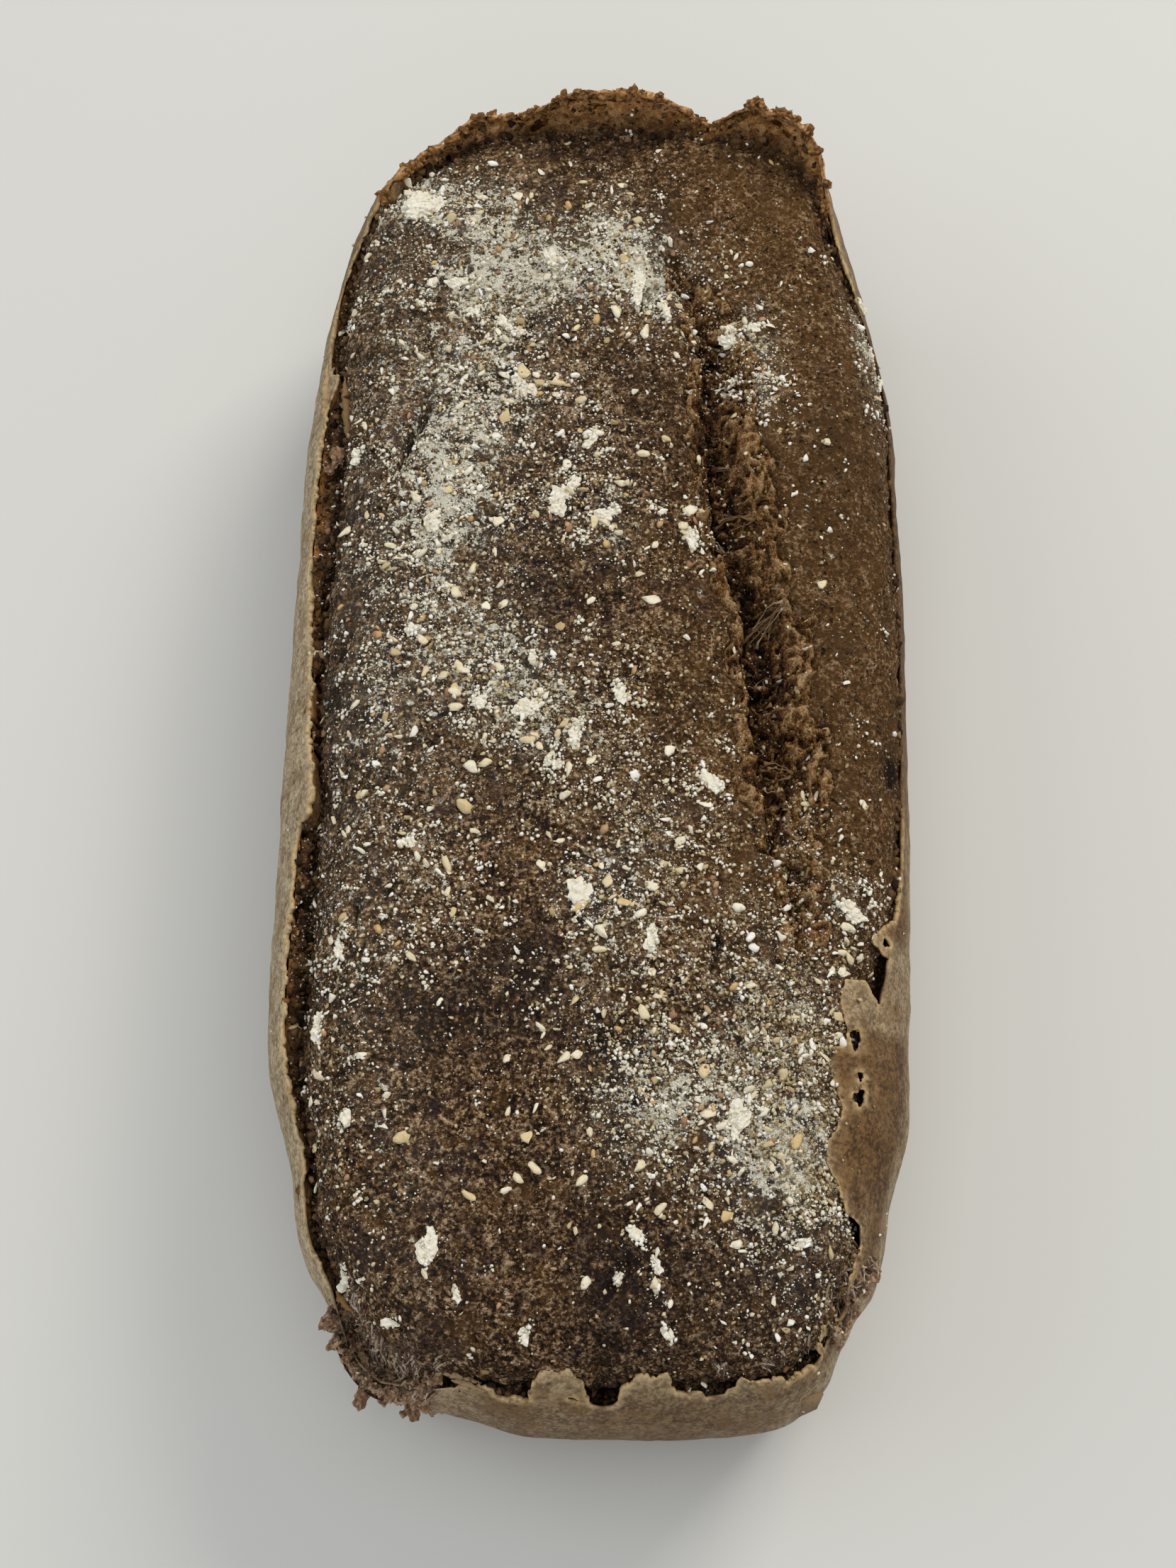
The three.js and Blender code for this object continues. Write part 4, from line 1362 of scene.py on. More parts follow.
@dataclass
class Lumps:
    """Crusty lumps laid down one by one and gathered into one piece."""

    name: str
    landing: "Landing"
    seed: int
    points: list[Array] = field(default_factory=list)
    faces: list[Array] = field(default_factory=list)
    tones: list[Array] = field(default_factory=list)
    # How blocky the ball is that lumps start from; 2 is round.
    BLOCKY = 3.4

    def __post_init__(self) -> None:
        """Makes the balls that lumps start from, a coarse and a fine one."""
        self.draw, self.grain = np.random.default_rng(self.seed), Grain(self.seed)
        self.balls = []
        for rounds in (3, 4):
            deselect()
            bpy.ops.mesh.primitive_ico_sphere_add(subdivisions=rounds, radius=0.5)
            ball = bpy.context.object
            round_shape = corners(ball) * MM
            radius = (np.abs(round_shape) ** self.BLOCKY).sum(axis=1) ** (1 / self.BLOCKY)
            blocky = round_shape * (0.5 / radius)[:, None]
            self.balls.append((blocky, np.array([list(p.vertices) for p in ball.data.polygons])))
            bpy.data.objects.remove(ball)

    def add(self, middle: Array, long: float, wide: float, thick: float, turn: float) -> None:
        """Adds a lump.

        Args:
            middle: its middle, in mm.
            long: its length in mm.
            wide: its width in mm.
            thick: its height in mm.
            turn: how it is turned on the spot, in radians.
        """
        ball, sides = self.balls[1 if long > 4.0 else 0]
        shape = ball * [long, wide, thick]
        seat = self.draw.uniform(0, 400, 3)
        soft = self.grain.soft
        swell = 1.0 + 0.3 * soft(shape + seat, 0.5 * wide) + 0.2 * soft(shape + seat, 0.2 * long)
        shape = shape * swell[:, None]
        near, level = self.grain.lumps(shape + seat, 0.95)
        ways = ball / (np.linalg.norm(ball, axis=1)[:, None] + 1e-9)
        rough = 0.5 * (ease(near) - 0.45) * (0.4 + level) + 0.3 * soft(shape + seat, 0.5)
        shape = shape + ways * (rough * min(1.0, 0.5 * wide))[:, None]
        base = sum(len(p) for p in self.points)
        spun = turned(shape[:, 0], shape[:, 1], turn)
        self.points.append(np.column_stack([*spun, shape[:, 2]]) + middle)
        self.faces.append(sides + base)
        self.tones.append(np.clip(0.55 + rough, 0.0, 1.0))

    def heap(self, x: float, y: float, long: float, wide: float, degrees: float) -> None:
        """Lays a heap of lumps on the crumb at x and y in mm."""
        turn = math.radians(degrees)
        count = 1 + int(long * wide / 8.0)
        for _ in range(count):
            off = np.array([self.draw.uniform(-0.3, 0.3) * long, self.draw.uniform(-0.25, 0.25) * wide])
            off = off * (0.0 if count == 1 else 1.0)
            step_x, step_y = turned(*off, turn)
            landed = self.landing.drop(x + step_x, y + step_y)
            if landed is None:
                continue
            size = 0.9 if count == 1 else self.draw.uniform(0.3, 0.55)
            broad = wide * (0.8 if count == 1 else self.draw.uniform(0.4, 0.8))
            thick = min(max(0.42 * broad, 0.7), 1.5)
            middle = np.array(landed[0]) + [0.0, 0.0, 0.25 * thick]
            self.add(middle, size * long, broad, thick, turn + self.draw.normal() * 0.3)

    def build(self) -> Piece:
        """Builds the lumps as one piece and returns it."""
        faces = np.concatenate(self.faces).tolist()
        return new_piece(self.name, np.concatenate(self.points), faces, np.concatenate(self.tones))


class GritKind(Enum):
    """The things that lie scattered on the loaf."""

    FLOUR = "flour_specks"
    HEAP = "flour_heaps"
    RICE = "rice_grits"
    BROKEN = "broken_rice"
    OAT = "oat_flakes"
    BRAN = "bran_flakes"
    CRUMBLE = "crumb_grains"
    RUBBLE = "gap_crumbs"
    MEAL = "tan_meal"


@dataclass
class Landing:
    """Finds where something dropped from above comes to rest."""

    crumbs: Sequence[Piece]
    skin: Piece
    # The height that things drop from in mm, and how upright a face must be to hold them.
    HEIGHT = 100.0
    STEEP = 0.05

    def __post_init__(self) -> None:
        """Sorts the faces of the pieces for quick search."""
        self._crumbs = [self._tree(piece) for piece in self.crumbs]
        self._skin = self._tree(self.skin)

    @staticmethod
    def _tree(piece: Piece) -> BVHTree:
        """Returns a search tree of the piece's faces."""
        spots = [v.co.copy() for v in piece.data.vertices]
        return BVHTree.FromPolygons(spots, [tuple(p.vertices) for p in piece.data.polygons])

    def drop(self, x: float, y: float) -> tuple[Vector, Vector, bool] | None:
        """Drops a grain.

        Args:
            x: where, across the loaf in mm.
            y: where, along the loaf in mm.

        Returns:
            Where it lands in mm, the way out of the surface there, and whether it is the skin, or None.
        """
        start, down = Vector((x * MM, y * MM, self.HEIGHT * MM)), Vector((0, 0, -1))
        hits = [tree.ray_cast(start, down) for tree in self._crumbs]
        hits = [hit for hit in hits if hit[0] is not None]
        crumb = max(hits, key=lambda hit: hit[0].z) if hits else None
        skin = self._skin.ray_cast(start, down)
        on_skin = skin[0] is not None and (crumb is None or skin[0].z > crumb[0].z)
        hit = skin if on_skin else crumb
        if hit is None or hit[0] is None or hit[1].z < self.STEEP:
            return None
        return hit[0] / MM, hit[1], on_skin


def merge_copies(
    name: str,
    models: Sequence[Piece],
    spots: Array,
    frames: Array,
    picks: Array,
    levels: Array,
) -> Piece:
    """Makes one piece of many copies.

    Args:
        name: the piece's name.
        models: the shapes to copy, in mm about the origin.
        spots: where each copy's middle goes, in mm.
        frames: each copy's three axes with its scale in them, as 3 by 3 arrays.
        picks: which model each copy is of.
        levels: a tone for each copy, painted on its vertices.

    Returns:
        The piece.
    """
    points, faces, tones, count = [], [], [], 0
    for number, model in enumerate(models):
        shape = corners(model)
        sides = np.array([list(p.vertices) for p in model.data.polygons])
        chosen = np.flatnonzero(picks == number)
        if not len(chosen):
            continue
        moved = np.einsum("nij,vj->nvi", frames[chosen], shape) + spots[chosen][:, None, :]
        starts = count + np.arange(len(chosen)) * len(shape)
        points.append(moved.reshape(-1, 3))
        faces.append((sides[None] + starts[:, None, None]).reshape(-1, sides.shape[1]))
        tones.append(np.repeat(levels[chosen], len(shape)))
        count += len(chosen) * len(shape)
    sides = np.concatenate(faces).tolist()
    piece = new_piece(name, np.concatenate(points), sides, np.concatenate(tones), flat=False)
    for model in models:
        bpy.data.objects.remove(model)
    return piece


@dataclass(frozen=True)
class GritSort:
    """How one kind of grit looks and how much of it there is."""

    kind: GritKind
    count: int
    sizes: tuple[float, float]
    bias: float  # above 1 makes small ones commoner
    flatness: tuple[float, float]
    slimness: tuple[float, float]
    tilt: float
    sink: float
    rounds: int
    models: int
    jag: float
    facets: int = 0
    heap: int = 1
    spread: float = 0.0
    clumping: float = 1.0


# The largest heaps of flour and grit: middle, length, width and turn in degrees.
HEAPS = (
    (-34.4, 97.2, 9.1, 5.5, 22), (23, 68.8, 8.1, 3.4, 124), (-2.4, -37.9, 7.5, 3.6, 84),
    (-12, -3.9, 5.7, 3.9, 30), (-14.3, 57.3, 6.3, 3.4, 128), (-16.7, 69.8, 8.1, 2.4, 151),
    (-25, -95.2, 6.9, 2.9, 89), (22.6, 60.4, 5.1, 3.9, 33), (42, -37.9, 7.2, 3.2, 136),
    (-6.6, 36, 9.4, 3, 65), (23.7, -72.8, 7.7, 3.4, 58), (-25.7, 80, 6.9, 3.4, 16),
    (1.2, 32.8, 5.5, 3, 24), (-3.5, -8.4, 7.1, 2.9, 71), (5.4, 78.5, 8.2, 3, 85),
    (-41.2, -44.6, 6.3, 2.5, 68), (9.6, -45.1, 6, 2.8, 86), (-20.2, -2.4, 4.7, 3.4, 65),
    (-2.2, 47.8, 5.9, 2.3, 63), (-29.1, 30.7, 5.7, 2.6, 69), (16, 28, 6.4, 2.2, 116),
    (-7.4, -13.9, 4.2, 3.4, 58), (3.7, -0.9, 5.5, 2.8, 131), (19.1, -16.8, 6.4, 2.7, 149),
    (10.3, 74.3, 6.4, 1.8, 109), (-32.1, 9.7, 4, 2.7, 120), (-44.3, -58.9, 6.2, 2.4, 90),
    (-10, 83.7, 8.2, 2.2, 102), (-23.3, 74, 4.2, 3.4, 68), (26.5, 71.2, 4.3, 2.5, 4),
    (-43.5, 46, 5, 2.4, 67), (-9, -107, 4.4, 2, 60), (13, -107, 4.6, 1.8, 120),
    (-38.2, -98.8, 6.0, 2.2, 96), (-39, -75, 4.6, 2.2, 75), (-31, -28, 3.6, 2.6, 30),
    (5, -99, 3, 2, 100), (-30, -106, 4, 1.6, 20), (8, -93, 5, 2.4, 130), (11, -97, 3.6, 1.8, 120),
    (33, -93, 4.4, 2, 15), (-20, -102, 3, 1.4, 100), (47.4, 84, 5, 2, 110), (49.4, 74, 6, 1.8, 98),
    (50.4, 66, 4, 1.5, 92),
)


# Clots of crumb that hang at the front corner and side: x, y, z, length, width in mm and turn in degrees.
CLOTS = (
    (-40.6, -107.6, 40, 2.8, 1.9, 30), (-38.1, -113.3, 12, 3.8, 2.6, 60),
    (-27.9, -117.4, 30, 2.8, 1.7, 110), (-29.4, -117.2, 29, 1.6, 1.1, 40),
    (-42.0, -104.6, 44, 2.4, 1.5, 70), (-36.6, -111.8, 14, 2.2, 1.4, 10),
    (-48.1, 47.7, 52.4, 3.2, 2.2, 100), (-49.2, 45.4, 51.4, 2.0, 1.4, 20),
)


class Dusting:
    """Everything that lies scattered on the loaf, made and laid down kind by kind."""

    SKIN_CHANCE = 0.02
    TRIES = 4000
    HEAP_GRAINS = 2.6  # to the square mm

    def __init__(self, landing: Landing, form: LoafForm, rim: Rim) -> None:
        """Keeps what it needs.

        Args:
            landing: finds where a grain comes to rest.
            form: the loaf's plan.
            rim: where the gap is.
        """
        self.landing = landing
        self.form = form
        self.rim = rim

    def _models(self, sort: GritSort, draw: np.random.Generator) -> list[Piece]:
        """Shapes a few grains, each a little different.

        Args:
            sort: the kind of grain.
            draw: the seeded draw.

        Returns:
            The models, about 1 mm long.
        """
        models = []
        for _ in range(sort.models):
            deselect()
            if sort.rounds == 0:
                bpy.ops.mesh.primitive_cone_add(vertices=4, radius1=0.5, radius2=0, depth=0.5)
                bpy.ops.object.mode_set(mode="EDIT")
                bpy.ops.mesh.select_all(action="SELECT")
                bpy.ops.mesh.quads_convert_to_tris()
                bpy.ops.object.mode_set(mode="OBJECT")
            else:
                bpy.ops.mesh.primitive_ico_sphere_add(subdivisions=sort.rounds, radius=0.5)
            model = bpy.context.object
            spots = corners(model) * MM
            spots = spots * (1.0 + sort.jag * draw.uniform(-1, 1, (len(spots), 1)))
            spots = spots + 0.3 * sort.jag * draw.uniform(-1, 1, spots.shape)
            for _ in range(sort.facets):
                cut = draw.normal(size=3)
                cut /= np.linalg.norm(cut)
                over = np.clip(spots @ cut - draw.uniform(0.12, 0.36), 0.0, None)
                spots = spots - over[:, None] * cut
            move_corners(model, spots)
            models.append(model)
        return models

    def _sites(self, sort: GritSort, draw: np.random.Generator, clumps: Grain) -> Array:
        """Picks places for grains of this kind, or for heaps of them.

        Args:
            sort: the kind of grain.
            draw: the seeded draw.
            clumps: noise that makes them lie in clumps.

        Returns:
            X and y in mm.
        """
        many = self.TRIES
        if sort.kind is GritKind.RUBBLE:
            tape = draw.uniform(0.0, self.form.tape_length, many)
            low, high = self.rim.gap_start(tape), self.rim.crumb_line.at(tape)
            x, y = self.form.place(tape, mix(low - 0.4, high + 1.2, draw.uniform(size=many)))
            weight = 1.0 - 0.75 * self.rim.closed(tape)
            return np.stack([x, y], 1)[draw.uniform(size=many) < weight]
        x = draw.uniform(-self.form.half_width + 2, self.form.half_width - 2, many)
        y = draw.uniform(-self.form.half_length + 3, self.form.half_length - 3, many)
        flour, grit = patched(FLOURED, x, y), patched(GRITTED, x, y)
        kind = sort.kind
        if kind is GritKind.CRUMBLE:
            weight = np.ones(many)
        elif kind is GritKind.FLOUR:
            weight = 0.75 * flour + 1.2 * grit
        elif kind is GritKind.MEAL:
            weight = patched(MEALED, x, y) + 0.3 * grit
        elif kind is GritKind.HEAP:
            weight = 0.35 * flour + 1.3 * grit
        elif kind in (GritKind.BROKEN, GritKind.RICE):
            weight = 1.9 * grit + 0.12 * flour
        else:
            weight = 1.4 * grit + 0.04
        flat = np.stack([x, y, np.zeros(many)], 1)
        clump = clumps.soft(flat, 5.5) + 0.8 * clumps.soft(flat + 30.0, 2.0)
        weight = weight * np.clip(1.0 + sort.clumping * 1.3 * clump, 0.0, 2.5) / 1.8
        return np.stack([x, y], 1)[draw.uniform(size=many) < weight]

    def _placed_heaps(self, draw: np.random.Generator) -> Array:
        """Returns places for the grains of the largest heaps."""
        spots = []
        for x, y, long, wide, degrees in HEAPS:
            count = int(self.HEAP_GRAINS * long * wide)
            out, turn = np.sqrt(draw.uniform(size=count)), draw.uniform(0.0, math.tau, count)
            along, across = 0.45 * long * out * np.cos(turn), 0.4 * wide * out * np.sin(turn)
            step_x, step_y = turned(along, across, math.radians(degrees))
            spots.append(np.stack([x + step_x, y + step_y], 1))
        return np.concatenate(spots)

    def scatter(self, sort: GritSort, seed: int) -> Piece:
        """Scatters one kind.

        Args:
            sort: the kind, its sizes and its count.
            seed: sets its draw apart.

        Returns:
            One piece with every grain in it.
        """
        draw = np.random.default_rng(seed)
        clumps = Grain(seed + 100)
        spots, frames, levels = [], [], []
        queue = self._placed_heaps(draw) if sort.kind is GritKind.HEAP else np.zeros((0, 2))
        while len(spots) < sort.count:
            if not len(queue):
                sites = self._sites(sort, draw, clumps)
                many = draw.integers(1, 2 * sort.heap, len(sites)) if sort.heap > 1 else 1
                queue = np.repeat(sites, many, axis=0)
                queue = queue + draw.normal(size=queue.shape) * sort.spread
            chances = draw.uniform(size=(len(queue), 8))
            for (at_x, at_y), chance in zip(queue, chances):
                landed = self.landing.drop(at_x, at_y)
                if landed is None or len(spots) >= sort.count:
                    continue
                point, way, on_skin = landed
                bare = sort.kind in (GritKind.CRUMBLE, GritKind.RUBBLE)
                if on_skin and (bare or chance[0] > self.SKIN_CHANCE):
                    continue
                long = mix(*sort.sizes, chance[1] ** sort.bias)
                thick = long * mix(*sort.flatness, chance[2])
                lean = Vector(((chance[3] - 0.5) * sort.tilt, (chance[4] - 0.5) * sort.tilt, 0))
                up = (way + lean).normalized()
                ahead = Vector((math.cos(chance[5] * math.tau), math.sin(chance[5] * math.tau), 0))
                side = up.cross(ahead).normalized()
                ahead = side.cross(up)
                slim = long * mix(*sort.slimness, chance[6])
                frame = Matrix((ahead * long, side * slim, up * thick)).transposed()
                raised = 0.5 * chance[7] if sort.heap > 1 else 0.0
                spots.append(point + way * thick * (0.5 - sort.sink + raised))
                frames.append(frame)
                levels.append(chance[7])
            queue = queue[:0]
        models = self._models(sort, draw)
        return merge_copies(
            sort.kind.value,
            models,
            np.array(spots),
            np.array([[list(r) for r in f] for f in frames]),
            draw.integers(0, len(models), len(spots)),
            np.array(levels),
        )


class Strands:
    """Thin tapering strands, gathered into one piece."""

    STEPS = 9
    SIDES = 5

    def __init__(self, name: str) -> None:
        """Starts the piece.

        Args:
            name: the piece's name.
        """
        self.name = name
        self.points: list[Array] = []
        self.faces: list[tuple[int, ...]] = []
        self.tones: list[float] = []

    def add(self, line: Array, widths: Array, flat: float, tone: float) -> None:
        """Adds a strand.

        Args:
            line: places along its middle in mm, one a row.
            widths: half its width at each of them, in mm.
            flat: its thickness as a share of its width.
            tone: painted on it.
        """
        base, count = len(self.points), len(line)
        ahead = np.gradient(line, axis=0)
        ahead /= np.linalg.norm(ahead, axis=1)[:, None] + 1e-9
        side = np.cross(ahead, [0.0, 0.0, 1.0])
        side /= np.linalg.norm(side, axis=1)[:, None] + 1e-9
        up = np.cross(side, ahead)
        for step, part in itertools.product(range(count), range(self.SIDES)):
            turn = math.tau * part / self.SIDES
            out = side[step] * math.cos(turn) + up[step] * math.sin(turn) * flat
            self.points.append(line[step] + out * widths[step])
            self.tones.append(tone)
        for step, part in itertools.product(range(count - 1), range(self.SIDES)):
            here, there = base + step * self.SIDES, base + (step + 1) * self.SIDES
            after = (part + 1) % self.SIDES
            self.faces.append((here + part, here + after, there + after, there + part))
        self.faces.append(tuple(base + k for k in reversed(range(self.SIDES))))
        self.faces.append(tuple(base + (count - 1) * self.SIDES + k for k in range(self.SIDES)))

    def build(self) -> Piece:
        """Builds the strands as one piece and returns it."""
        piece = new_piece(self.name, np.array(self.points), self.faces, np.array(self.tones))
        deselect()
        piece.select_set(True)
        bpy.context.view_layer.objects.active = piece
        bpy.ops.object.mode_set(mode="EDIT")
        bpy.ops.mesh.select_all(action="SELECT")
        bpy.ops.mesh.normals_make_consistent(inside=False)
        bpy.ops.object.mode_set(mode="OBJECT")
        bpy.ops.object.shade_smooth()
        return piece


@dataclass
class Webs:
    """Webs of torn crumb that still span the burst."""

    crumb: Crumb
    landing: Landing
    strays: int = 26
    strands: int = 3
    # Where the clearest webs hang: anchor x and y on the bank, then x and y of their other ends.
    webs: tuple[tuple[tuple[float, float], ...], ...] = (
        ((32.0, 17.2), (26.4, 14.6), (26.0, 12.2), (27.2, 16.4), (29.0, 13.0)),
        ((31.0, 5.8), (26.0, 6.6), (26.4, 4.4), (28.6, 3.6)),
        ((21.6, 28.4), (17.4, 27.0), (18.4, 25.2), (24.6, 29.6), (25.4, 27.2)),
        ((26.8, 33.5), (21.6, 34.6), (22.2, 32.2)),
        ((25.6, 43.5), (20.4, 45.2), (20.8, 42.4)),
        ((33.2, -13.5), (27.6, -12.6), (28.2, -15.4)),
    )

    def _strand(self, bench: Strands, start: Array, end: Array, draw: np.random.Generator) -> None:
        """Hangs a strand between two places, in mm."""
        share = np.linspace(0.0, 1.0, bench.STEPS)[:, None]
        line = mix(start, end, share) + np.cumsum(draw.normal(size=(bench.STEPS, 3)), axis=0) * 0.16
        bow = np.sin(math.pi * share[:, 0])
        line[:, :2] += draw.normal(size=2) * 0.6 * bow[:, None]
        line[:, 2] -= draw.uniform(-0.2, 0.9) * bow
        thin = draw.uniform(0.05, 0.11)
        widths = thin + draw.uniform(0.2, 0.55) * np.abs(1.0 - 2.0 * share[:, 0]) ** 3
        bench.add(line, widths, 0.35, float(draw.uniform()))

    def _resting(self, x: float, y: float, lift: float) -> Array | None:
        """Returns the place on the crumb at x and y, a little above it, in mm."""
        landed = self.landing.drop(x, y)
        return None if landed is None else np.array(landed[0]) + np.array([0.0, 0.0, lift])

    def build(self) -> Piece:
        """Builds the webs as one piece and returns it."""
        draw = np.random.default_rng(Seed.WEBS)
        bench = Strands("tear_webs")
        burst = self.crumb.burst
        webs = [list(web) for web in self.webs]
        for _ in range(self.strays):
            y = draw.uniform(-40, 74)
            x = float(np.interp(y, burst.line_y, burst.line_x)) + draw.uniform(0.5, 5.0)
            turn, long = draw.uniform(-1.4, 1.4), draw.uniform(1.4, 3.4)
            webs.append([(x, y), (x + long * math.cos(turn), y + long * math.sin(turn))])
        for anchor, *ends in webs:
            start = self._resting(*anchor, 0.1)
            for spot in ends:
                end = self._resting(*spot, float(draw.uniform(-0.1, 0.5)))
                if start is None or end is None:
                    continue
                for _ in range(self.strands if len(ends) > 1 else 2):
                    fray = draw.normal(size=(2, 3)) * [[0.35], [0.7]] * [1.0, 1.0, 0.3]
                    self._strand(bench, start + fray[0], end + fray[1], draw)
        return bench.build()


@dataclass
class Shreds:
    """Curled slips of skin and crust that hang loose at the rim."""

    # Tone, flatness, then x, y, z and half width in mm of places along each shred.
    slips: tuple[tuple[float, float, tuple[tuple[float, float, float, float], ...]], ...] = (
        (0.55, 0.25, ((-40.0, -99.8, 46, 0.3), (-39.2, -101.4, 48.3, 0.6), (-38.0, -102.8, 49.2, 0.5),
                      (-36.8, -104, 49.6, 0.15))),
        (0.85, 0.2, ((-26.6, -110.6, 47.4, 0.3), (-24.6, -111.4, 49.4, 1.3), (-21.8, -112.3, 50.2, 1.1),
                     (-18.4, -113.4, 50, 0.6), (-16.2, -114.2, 49.6, 0.15))),
        (0.75, 0.2, ((-21, -113.9, 50.6, 0.1), (-18.4, -114.6, 51.6, 0.6), (-15, -115.6, 51, 0.1))),
        (0.35, 0.3, ((26.9, -117.6, 24, 0.1), (24.6, -118.3, 24.6, 0.45), (21.8, -118.7, 25, 0.3),
                     (19.6, -118.9, 25, 0.1))),
        (0.6, 0.3, ((-47.2, 62.4, 55, 0.1), (-47, 59, 54.4, 0.8), (-46.4, 54.5, 53.6, 0.9),
                    (-45.6, 50.4, 52.6, 0.5), (-45.4, 49, 52, 0.1))),
        (0.9, 0.3, ((-50.6, 65.4, 54, 0.1), (-50.9, 62.5, 52.6, 0.7), (-51, 59.5, 51, 0.9),
                    (-51.2, 57, 49.6, 0.3))),
        (0.6, 0.9, ((-48.6, 49.4, 51.6, 0.6), (-48.1, 48, 52.2, 1.5), (-47.6, 46.6, 51.8, 0.7))),
        (0.55, 0.9, ((-49.6, 46.6, 50.8, 0.4), (-49.3, 45.6, 51.2, 0.9), (-49, 44.8, 50.8, 0.4))),
        (0.5, 0.25, ((-50, 26, 47, 0.2), (-50.2, 22, 48.4, 0.9), (-50.3, 17, 48, 0.5), (-50.2, 15, 47, 0.1))),
    )
    # A corner of skin that hangs down at the front: x, y, z of its corners in mm.
    flap: tuple[tuple[float, float, float], ...] = (
        (32.6, -115.6, 43), (39.4, -113.6, 43.5), (37.6, -115.6, 39.6), (35.2, -117, 35.6),
    )

    def build(self) -> Piece:
        """Builds the shreds as one piece and returns it."""
        draw = np.random.default_rng(Seed.SHREDS)
        bench = Strands("skin_shreds")
        for tone, flat, places in self.slips:
            rough = np.array(places)
            share = np.linspace(0.0, len(rough) - 1, 5 * len(rough))
            line = np.stack([np.interp(share, np.arange(len(rough)), rough[:, k]) for k in range(4)], 1)
            line[:, :3] += draw.normal(size=(len(line), 3)) * 0.12
            bench.add(line[:, :3], line[:, 3] * draw.uniform(0.7, 1.2, len(line)), flat, tone)
        corner = np.array(self.flap)
        middle = 0.5 * (corner[0] + corner[2]) + [1.2, 0, 0]
        line = np.stack([0.5 * (corner[0] + corner[1]), middle, corner[3]])
        bench.add(line, np.array([3.3, 1.9, 0.15]), 0.16, 0.7)
        return bench.build()


class Finish:
    """A material's node bench, with short ways to lay its nodes."""

    # The colour sockets of a mix: its share and two inputs, and its output.
    MIX_INPUTS = (0, 6, 7)
    MIX_OUTPUT = 2

    def __init__(self, name: str, roughness: float, specular: float) -> None:
        """Starts the material.

        Args:
            name: the material's name.
            roughness: the same all over.
            specular: the same all over.
        """
        self.material = bpy.data.materials.new(name)
        self.material.use_nodes = True
        self.nodes = self.material.node_tree.nodes
        self.links = self.material.node_tree.links
        self.shader = self.nodes["Principled BSDF"]
        self.shader.inputs["Roughness"].default_value = roughness
        self.shader.inputs["Specular IOR Level"].default_value = specular
        spot = self.lay("TexCoord").outputs["Object"]
        self.place = self.lay("Mapping", Scale=(1 / MM,) * 3, Vector=spot).outputs["Vector"]

    def lay(self, kind: str, **values: object) -> bpy.types.Node:
        """Lays a node of a kind and gives its inputs their values or links."""
        node = self.nodes.new("ShaderNode" + kind)
        for name, value in values.items():
            self.plug(node.inputs[name.replace("_", " ")], value)
        return node

    def plug(self, socket: Socket, value: object) -> None:
        """Links or sets a socket."""
        if isinstance(value, Socket):
            self.links.new(value, socket)
        elif isinstance(value, tuple) and len(value) == 3 and socket.type == "RGBA":
            socket.default_value = (*value, 1.0)
        else:
            socket.default_value = value

    def noise(self, size: float, detail: float = 2.0, rough: float = 0.55, twist: float = 0.0) -> Socket:
        """Returns noise from 0 to 1 whose hills are about size mm apart."""
        node = self.lay("TexNoise", Scale=1.0 / size, Detail=detail, Roughness=rough, Distortion=twist)
        self.plug(node.inputs["Vector"], self.place)
        return node.outputs["Fac"]

    def streaks(self, size: tuple[float, float, float], detail: float = 2.0) -> Socket:
        """Returns noise from 0 to 1 stretched to a size in mm along each axis."""
        scale = self.lay("Mapping", Scale=tuple(1.0 / s for s in size), Vector=self.place)
        node = self.lay("TexNoise", Scale=1.0, Detail=detail, Vector=scale.outputs["Vector"])
        return node.outputs["Fac"]

    def cells(self, size: float) -> tuple[Socket, Socket]:
        """Returns how far each place is from its cell's middle, and a level that is the cell's own."""
        node = self.lay("TexVoronoi", Scale=1.0 / size, Vector=self.place)
        parts = self.lay("SeparateColor", Color=node.outputs["Color"])
        return node.outputs["Distance"], parts.outputs["Red"]

    def level(self, name: str) -> Socket:
        """Returns a level that paint stored on the piece."""
        node = self.lay("Attribute")
        node.attribute_name = name
        return node.outputs["Fac"]

    def sum(self, kind: str, first: object, second: object, clamp: bool = False) -> Socket:
        """Returns two levels put together by a kind of Math node."""
        node = self.lay("Math")
        node.operation = kind
        node.use_clamp = clamp
        self.plug(node.inputs[0], first)
        self.plug(node.inputs[1], second)
        return node.outputs["Value"]

    def weigh(self, *parts: tuple[Socket, float]) -> Socket:
        """Returns the levels added up, each times its weight."""
        total: object = 0.0
        for value, weight in parts:
            node = self.lay("Math")
            node.operation = "MULTIPLY_ADD"
            self.plug(node.inputs[0], value)
            node.inputs[1].default_value = weight
            self.plug(node.inputs[2], total)
            total = node.outputs["Value"]
        return total

    def window(self, value: Socket, low: float, high: float) -> Socket:
        """Returns 0 below low, 1 above high and a smooth step between them."""
        node = self.lay("MapRange", From_Min=low, From_Max=high)
        node.interpolation_type = "SMOOTHSTEP"
        self.plug(node.inputs["Value"], value)
        return node.outputs["Result"]

    def ramp(self, value: Socket, stops: Tones) -> Socket:
        """Returns a colour that runs through the stops."""
        node = self.lay("ValToRGB", Fac=value)
        band = node.color_ramp.elements
        while len(band) < len(stops):
            band.new(0.5)
        for element, (position, colour) in zip(band, stops):
            element.position = position
            element.color = (*colour, 1.0)
        return node.outputs["Color"]

    def blend(self, share: object, low: object, high: object) -> Socket:
        """Returns the colour low where share is 0 and high where it is 1."""
        node = self.lay("Mix")
        node.data_type = "RGBA"
        for socket, value in zip(self.MIX_INPUTS, (share, low, high)):
            self.plug(node.inputs[socket], value)
        return node.outputs[self.MIX_OUTPUT]

